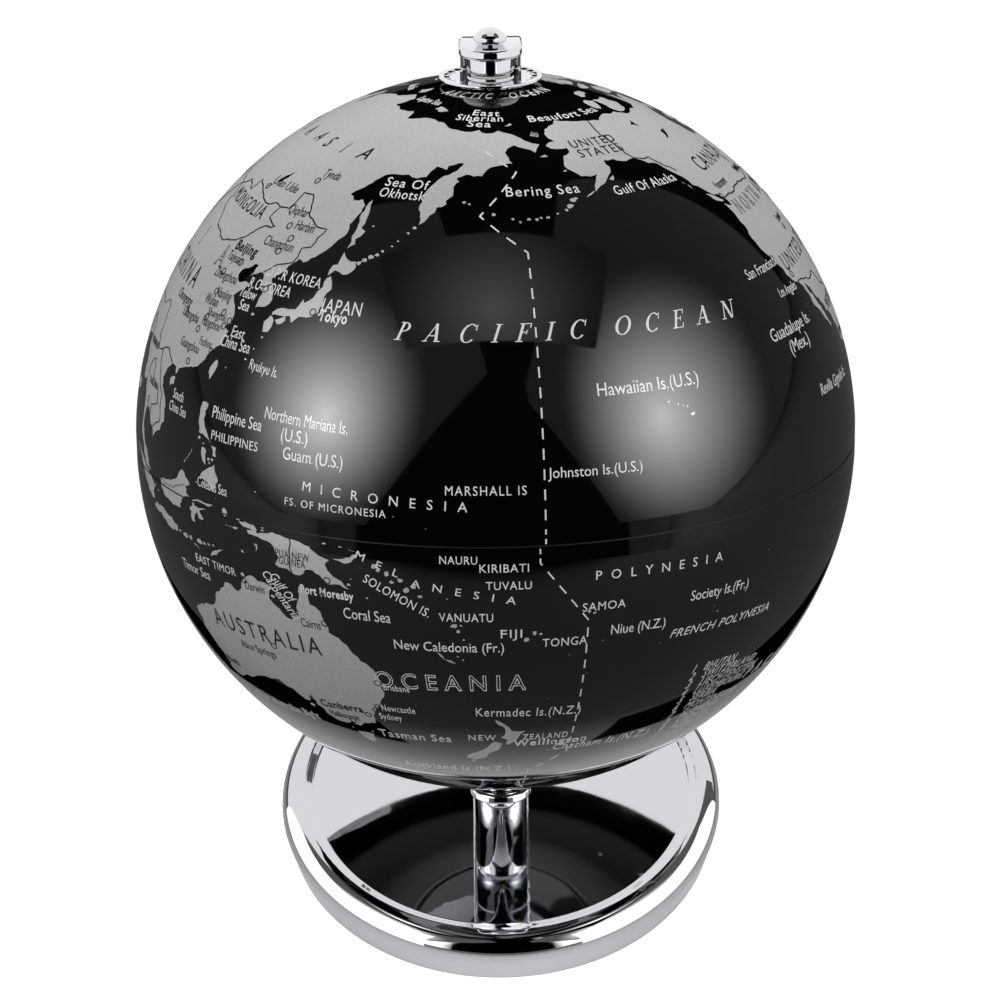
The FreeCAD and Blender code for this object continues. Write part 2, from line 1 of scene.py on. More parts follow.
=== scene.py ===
import json
import math
import random

import bmesh
import bpy
import numpy as np
from mathutils import Matrix, Vector
from mathutils.geometry import delaunay_2d_cdt


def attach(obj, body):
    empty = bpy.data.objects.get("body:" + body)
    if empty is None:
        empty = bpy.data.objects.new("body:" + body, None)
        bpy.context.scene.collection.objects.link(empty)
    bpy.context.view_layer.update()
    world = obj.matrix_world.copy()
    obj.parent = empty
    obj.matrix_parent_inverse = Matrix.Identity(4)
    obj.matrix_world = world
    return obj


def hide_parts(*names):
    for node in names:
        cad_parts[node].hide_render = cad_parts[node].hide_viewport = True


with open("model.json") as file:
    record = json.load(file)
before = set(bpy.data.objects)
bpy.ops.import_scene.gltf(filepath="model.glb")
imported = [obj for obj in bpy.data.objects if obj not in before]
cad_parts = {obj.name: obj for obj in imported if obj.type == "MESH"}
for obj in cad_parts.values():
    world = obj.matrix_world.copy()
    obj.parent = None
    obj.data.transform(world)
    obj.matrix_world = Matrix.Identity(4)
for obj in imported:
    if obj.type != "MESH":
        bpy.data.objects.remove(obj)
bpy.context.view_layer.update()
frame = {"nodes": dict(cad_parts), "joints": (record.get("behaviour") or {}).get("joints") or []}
node = frame["nodes"]

# Camera: it looks down at about 44 degrees on the side away from the arm, through a long lens.
camera_data = bpy.data.cameras.new("camera")
camera_data.lens = 144.8
camera_data.sensor_width = 36
camera = bpy.data.objects.new("camera", camera_data)
bpy.context.scene.collection.objects.link(camera)
camera.location = (0, -0.59395, 0.62496)
camera.rotation_euler = [math.radians(turn) for turn in (48.0955, 0.5715, -0.5769)]
bpy.context.scene.camera = camera
bpy.context.scene.view_settings.view_transform = "Standard"

# Floor and room: white paper that the camera sees evenly lit, as it glows evenly for camera rays.
# Its colour is a painted pool of light, near white by the object and dark grey farther out, so that
# it throws light and shows in the chrome only near the object, in a room that is dark except where
# the camera looks at it.
PAINTED_POOL_NEAR, PAINTED_POOL_FAR = 0.058, 0.11


def linear(code):
    """An sRGB hex colour as linear red, green, blue and alpha."""
    parts = [int(code[place:place + 2], 16) / 255 for place in (0, 2, 4)]
    return [c / 12.92 if c <= 0.04045 else ((c + 0.055) / 1.055) ** 2.4 for c in parts] + [1]


def add_node(tree, kind, links=(), values=(), **settings):
    """Add a node with its properties, its inputs' values and its links of (output, input)."""
    made = tree.nodes.new(kind)
    for name, value in settings.items():
        setattr(made, name, value)
    for place, value in values:
        made.inputs[place].default_value = value
    for output, place in links:
        tree.links.new(output, made.inputs[place])
    return made


def new_material(name, color, roughness, metallic=0.0, **sockets):
    """A principled material from its hex colour, and its node tree and shader."""
    material = bpy.data.materials.new(name)
    material.use_nodes = True
    shader = material.node_tree.nodes["Principled BSDF"]
    shader.inputs["Base Color"].default_value = linear(color)
    shader.inputs["Roughness"].default_value = roughness
    shader.inputs["Metallic"].default_value = metallic
    for name, value in sockets.items():
        shader.inputs[name.replace("_", " ")].default_value = value
    return material, material.node_tree, shader


bpy.ops.mesh.primitive_plane_add(size=6, location=(0, 0, -0.0002))
floor = bpy.context.object
floor.name = "floor"
painted_pool_paper, tree, shader = new_material("white_paper_with_painted_light_pool", "f2f2f2", 0.9)
where = add_node(tree, "ShaderNodeTexCoord").outputs["Object"]
away = add_node(tree, "ShaderNodeVectorMath", [(where, 0)], operation="LENGTH")
# Painted pool of light: the paper's colour runs from near white close to the object to dark grey
# farther out.
shade = add_node(tree, "ShaderNodeMapRange", [(away.outputs["Value"], "Value")], [
    ("From Min", PAINTED_POOL_NEAR), ("From Max", PAINTED_POOL_FAR), ("To Min", 0.95), ("To Max", 0.16)])
tree.links.new(shade.outputs["Result"], shader.inputs["Base Color"])
seen = add_node(tree, "ShaderNodeLightPath").outputs["Is Camera Ray"]
tree.links.new(seen, shader.inputs["Emission Strength"])
shader.inputs["Emission Color"].default_value = (0.96, 0.96, 0.96, 1)
floor.data.materials.append(painted_pool_paper)

world = bpy.data.worlds.new("studio")
bpy.context.scene.world = world
world.use_nodes = True
tree = world.node_tree
seen = add_node(tree, "ShaderNodeLightPath").outputs["Is Camera Ray"]
room = tree.nodes["Background"]
room.inputs["Color"].default_value = (0.025, 0.025, 0.025, 1)
white = add_node(tree, "ShaderNodeBackground", values=[("Color", (1, 1, 1, 1))])
both = add_node(tree, "ShaderNodeMixShader", [
    (seen, 0), (room.outputs[0], 1), (white.outputs[0], 2)])
tree.links.new(both.outputs[0], tree.nodes["World Output"].inputs["Surface"])

# Soft boxes: one on each side of the camera and a board overhead, each hot at one spot and
# fading out from it. They light the ball; the board lights only its print.
spin = next(joint for joint in frame["joints"] if joint["name"] == "globe_spin")
ball_centre = Vector(spin["pos_m"])
polar_axis = Vector(spin["axis"])
PANEL_DISTANCE = 1.25


def light_material(name):
    """A material that only glows, its node tree and the input for how strongly."""
    material = bpy.data.materials.new(name)
    material.use_nodes = True
    tree = material.node_tree
    tree.nodes.clear()
    light = add_node(tree, "ShaderNodeEmission")
    add_node(tree, "ShaderNodeOutputMaterial", [(light.outputs[0], "Surface")])
    return material, tree, light.inputs["Strength"]


def glowing(name, middle, edge, reach, centre=(0, 0, 0)):
    """Light that fades from middle to edge over reach metres from a centre on the object."""
    material, tree, strength = light_material(name)
    where = add_node(tree, "ShaderNodeTexCoord").outputs["Object"]
    away = add_node(tree, "ShaderNodeVectorMath", [(where, 0)], [(1, centre)],
                    operation="DISTANCE")
    near = add_node(tree, "ShaderNodeMapRange", [(away.outputs["Value"], "Value")], [
        ("From Min", 0), ("From Max", reach), ("To Min", 1), ("To Max", 0)])
    fade = add_node(tree, "ShaderNodeMath", [(near.outputs["Result"], 0)], [(1, 2)],
                    operation="POWER")
    glow = add_node(tree, "ShaderNodeMath", [(fade.outputs[0], 0)], [(1, middle - edge), (2, edge)],
                    operation="MULTIPLY_ADD")
    tree.links.new(glow.outputs[0], strength)
    return material


def bearing(azimuth, elevation):
    """The way from the ball to a bearing in degrees."""
    turn, rise = math.radians(azimuth), math.radians(elevation)
    return Vector((math.cos(turn) * math.cos(rise), math.sin(turn) * math.cos(rise),
                   math.sin(rise)))


def put_panel(name, toward, size, middle, edge, hot, reach):
    """A flat lit panel that faces the ball from one bearing and is hottest at another."""
    bpy.ops.mesh.primitive_plane_add(size=1)
    panel = bpy.context.object
    panel.name = name
    panel.data.transform(Matrix.Diagonal((*size, 1, 1)))
    way, hot = bearing(*toward), bearing(*hot)
    turned = way.to_track_quat("Z", "Y")
    panel.location = ball_centre + way * PANEL_DISTANCE
    panel.rotation_euler = turned.to_euler()
    spot = turned.inverted() @ (hot * (PANEL_DISTANCE / hot.dot(way)) - way * PANEL_DISTANCE)
    panel.data.materials.append(glowing(name, middle, edge, reach, spot))
    panel.visible_camera = False
    return panel


put_panel("soft_box_left", (-168.5, 31.4), (2.25, 2.9), 7.6, 0.1, (-153, 27), 0.9)
put_panel("soft_box_right", (-5.3, 26), (2.9, 2.9), 6.4, 0.1, (-29, 26.5), 1.05)
board = put_panel("board_overhead", (-90, 85.7), (1.5, 0.8), 0.72, 0.06, (-90, 78), 0.9)
printed = bpy.data.collections.new("printed_parts")
board.light_linking.receiver_collection = printed

# Light tent: white cloth all round the object, which lights and shows in the plated parts alone.
# It is open on the camera's side, and that shows as a dark stripe in the chrome.
TENT_RADIUS = 2.4
DOME_SEGMENTS, DOME_RINGS = 64, 32
bpy.ops.mesh.primitive_uv_sphere_add(segments=DOME_SEGMENTS, ring_count=DOME_RINGS,
                                     radius=TENT_RADIUS)
tent = bpy.context.object
tent.name = "light_tent"
cloth, tree, strength = light_material("lit_tent_cloth")
where = add_node(tree, "ShaderNodeTexCoord").outputs["Object"]
way = add_node(tree, "ShaderNodeVectorMath", [(where, 0)], operation="NORMALIZE")
part = add_node(tree, "ShaderNodeSeparateXYZ", [(way.outputs[0], 0)])
aside = add_node(tree, "ShaderNodeMath", [(part.outputs["X"], 0)], operation="ABSOLUTE")
ahead = add_node(tree, "ShaderNodeMath", [(part.outputs["Y"], 0)], [(1, -1)],
                 operation="MULTIPLY")
ahead = add_node(tree, "ShaderNodeMath", [(ahead.outputs[0], 0)], [(1, 0.001)],
                 operation="MAXIMUM")
slant = add_node(tree, "ShaderNodeMath", [(aside.outputs[0], 0), (ahead.outputs[0], 1)],
                 operation="DIVIDE")
slot = add_node(tree, "ShaderNodeMapRange", [(slant.outputs[0], "Value")], [
    ("From Min", 0.4), ("From Max", 0.56), ("To Min", 0), ("To Max", 1)],
    interpolation_type="SMOOTHSTEP")
glow = add_node(tree, "ShaderNodeMapRange", [(ahead.outputs[0], "Value")], [
    ("From Min", 0.0), ("From Max", 0.6), ("To Min", 0.86), ("To Max", 1.5)])
both = add_node(tree, "ShaderNodeMath", [(slot.outputs[0], 0), (glow.outputs[0], 1)],
                operation="MULTIPLY")
tree.links.new(both.outputs[0], strength)
tent.data.materials.append(cloth)
tent.visible_camera = False
plated = bpy.data.collections.new("plated_parts")
for name in ("base_shell", "post", "meridian_arm", "north_spacer", "south_spacer",
             "north_cap_nut", "south_cap_nut", "time_dial"):
    plated.objects.link(node[name])
tent.light_linking.receiver_collection = plated

# Cards: small white cards curved round the base and the north knob, at both sides of the
# camera. They show in the plating only, and give it its bright bands.
CARD_START = 27
CARD_STEPS = 30


def put_cards(name, centre, radius, low, high, last, glow):
    """Cards from CARD_START to last degrees round from the camera, from low to high."""
    spots, faces = [], []
    for side in (-1, 1):
        turns = [math.radians(-90 + side * turn)
                 for turn in np.linspace(CARD_START, last, CARD_STEPS)]
        first = len(spots)
        spots += [(radius * math.cos(turn), radius * math.sin(turn), z)
                  for turn in turns for z in (low, high)]
        faces += [(place, place + 1, place + 3, place + 2)
                  for place in range(first, len(spots) - 2, 2)]
    mesh = bpy.data.meshes.new(name)
    mesh.from_pydata(spots, [], faces)
    mesh.materials.append(glowing(name + "_glow", glow, glow, 1))
    cards = bpy.data.objects.new(name, mesh)
    bpy.context.scene.collection.objects.link(cards)
    cards.location = centre
    cards.visible_camera = cards.visible_diffuse = cards.visible_shadow = False
    cards.light_linking.receiver_collection = plated


put_cards("base_cards", (0, 0, 0), 0.082, 0.0005, 0.055, 105, 1.4)
put_cards("knob_cards", ball_centre + polar_axis * 0.076, 0.03, -0.014, 0.03, 180, 0.98)

# Paper sweep: half a dome behind the object that lifts the matt silver land from above, without
# showing in the gloss.
SWEEP_RADIUS = 2.2
bpy.ops.mesh.primitive_uv_sphere_add(segments=DOME_SEGMENTS, ring_count=DOME_RINGS,
                                     radius=SWEEP_RADIUS)
sweep = bpy.context.object
sweep.name = "paper_sweep"
bpy.ops.object.mode_set(mode="EDIT")
bpy.ops.mesh.select_all(action="SELECT")
bpy.ops.mesh.bisect(plane_co=(0, 0.2, 0), plane_no=(0, 0.94, -0.34), clear_inner=True)
bpy.ops.object.mode_set(mode="OBJECT")
sweep.data.materials.append(glowing("lit_paper", 17, 0.4, 2.0, (0, 2, 0.4)))
sweep.visible_camera = sweep.visible_glossy = False
sweep.light_linking.receiver_collection = printed

# Foot pad: a disc of closed-cell EVA foam, die cut and stuck under the cover: matt, softly
# pitted, black.


def place_pattern(tree):
    """Object coordinates in millimetres."""
    where = add_node(tree, "ShaderNodeTexCoord")
    return add_node(tree, "ShaderNodeMapping", [(where.outputs["Object"], "Vector")],
                    [("Scale", (1000, 1000, 1000))]).outputs["Vector"]


def bump(tree, shader, height, distance):
    """Raise the surface by a pattern, distance metres at most."""
    made = add_node(tree, "ShaderNodeBump", [(height, "Height")], [("Distance", distance)])
    tree.links.new(made.outputs["Normal"], shader.inputs["Normal"])


def dress(names, material):
    """Give CAD nodes their material."""
    for name in names:
        for slot in node[name].material_slots:
            slot.material = material


foam, tree, shader = new_material("eva_foam", "1c1c1d", 0.85)
place = place_pattern(tree)
cells = add_node(tree, "ShaderNodeTexVoronoi", [(place, "Vector")], [("Scale", 2.5)])
bump(tree, shader, cells.outputs["Distance"], 0.0001)
dress(["foot_pad"], foam)

# Bottom cover, its screws and the weight inside: mild steel, pressed, turned and cut, then zinc
# plated, which is greyer than chrome, with a fine crystal texture.


def grain(tree, vector, size, detail=2.0):
    """Noise whose features are about size millimetres across."""
    return add_node(tree, "ShaderNodeTexNoise", [(vector, "Vector")],
                    [("Scale", 1 / size), ("Detail", detail)]).outputs["Fac"]


def spread(tree, value, low, high):
    """A noise value, mostly between 0.35 and 0.65, stretched to run from low to high."""
    return add_node(tree, "ShaderNodeMapRange", [(value, "Value")],
                    [("From Min", 0.35), ("From Max", 0.65), ("To Min", low), ("To Max", high)]
                    ).outputs["Result"]


zinc, tree, shader = new_material("zinc_plated_steel", "b4b6b8", 0.3, 1.0)
place = place_pattern(tree)
tree.links.new(spread(tree, grain(tree, place, 0.4), 0.22, 0.42), shader.inputs["Roughness"])
dress(["base_bottom_cover", "cover_screws", "base_weight"], zinc)

# Base shell: sheet steel pressed to a shallow dish, polished and plated with bright chrome. It
# mirrors the room with a slightly cool cast; fine polishing marks and haze only soften that.
chrome, tree, shader = new_material("bright_chrome_plate", "e4e5e8", 0.03, 1.0)
place = place_pattern(tree)
haze = spread(tree, grain(tree, place, 14), 0.015, 0.05)
tree.links.new(haze, shader.inputs["Roughness"])
bump(tree, shader, grain(tree, place, 9, 1), 0.00001)
dress(["base_shell"], chrome)

# Post: turned from steel bar and chrome plated. A bolt from below, with a flat and a spring
# washer, all zinc plated, holds it on the base.
dress(["post"], chrome)
dress(["post_bolt", "post_flat_washer", "post_spring_washer"], zinc)

# Meridian arm: a steel strip bent to a C and chrome plated. A countersunk screw, plated to
# match, holds it on the post.
dress(["meridian_arm", "arm_screw"], chrome)

# Inside of the ball: two half shells and the ring that joins them, moulded in black polystyrene
# with a spark-eroded texture. The printed film hides them but for thin lines at its edges.
plastic, tree, shader = new_material("moulded_black_polystyrene", "161617", 0.5)
place = place_pattern(tree)
bump(tree, shader, grain(tree, place, 0.5), 0.00005)
dress(["joining_ring", "north_hemisphere", "south_hemisphere"], plastic)

# Map skins: each half of the ball wears a printed film, gloss black for sea and silver for land,
# under clear lacquer. The films meet at the seam, in the straight belt round the equator.
MM = 0.001
BALL = 70.0 * MM
FILM = 0.2 * MM
BELT = 3.2 * MM
SEAM = 0.15 * MM
POLE_HOLE = 2.85 * MM
SEAM_SIDES, BELT_SIDES, HOLE_SIDES = 360, 240, 48
RINGS = (3.6, 86.5, 1.5)
FRONT_LONGITUDE = 173.68
front = Vector((0, -polar_axis.z, polar_axis.y))
# The printer pulls the map towards the belt, by a few degrees that fade out towards the pole, and
# shifts the northern half a little east over part of its way round.
NORTH_PULL, NORTH_FADE = 2.6, (40, 72)
SOUTH_PULL, SOUTH_FADE = 2.4, (45, 75)
SHIFT, SHIFT_IN, SHIFT_OUT = 1.5, (160, 195), (260, 320)
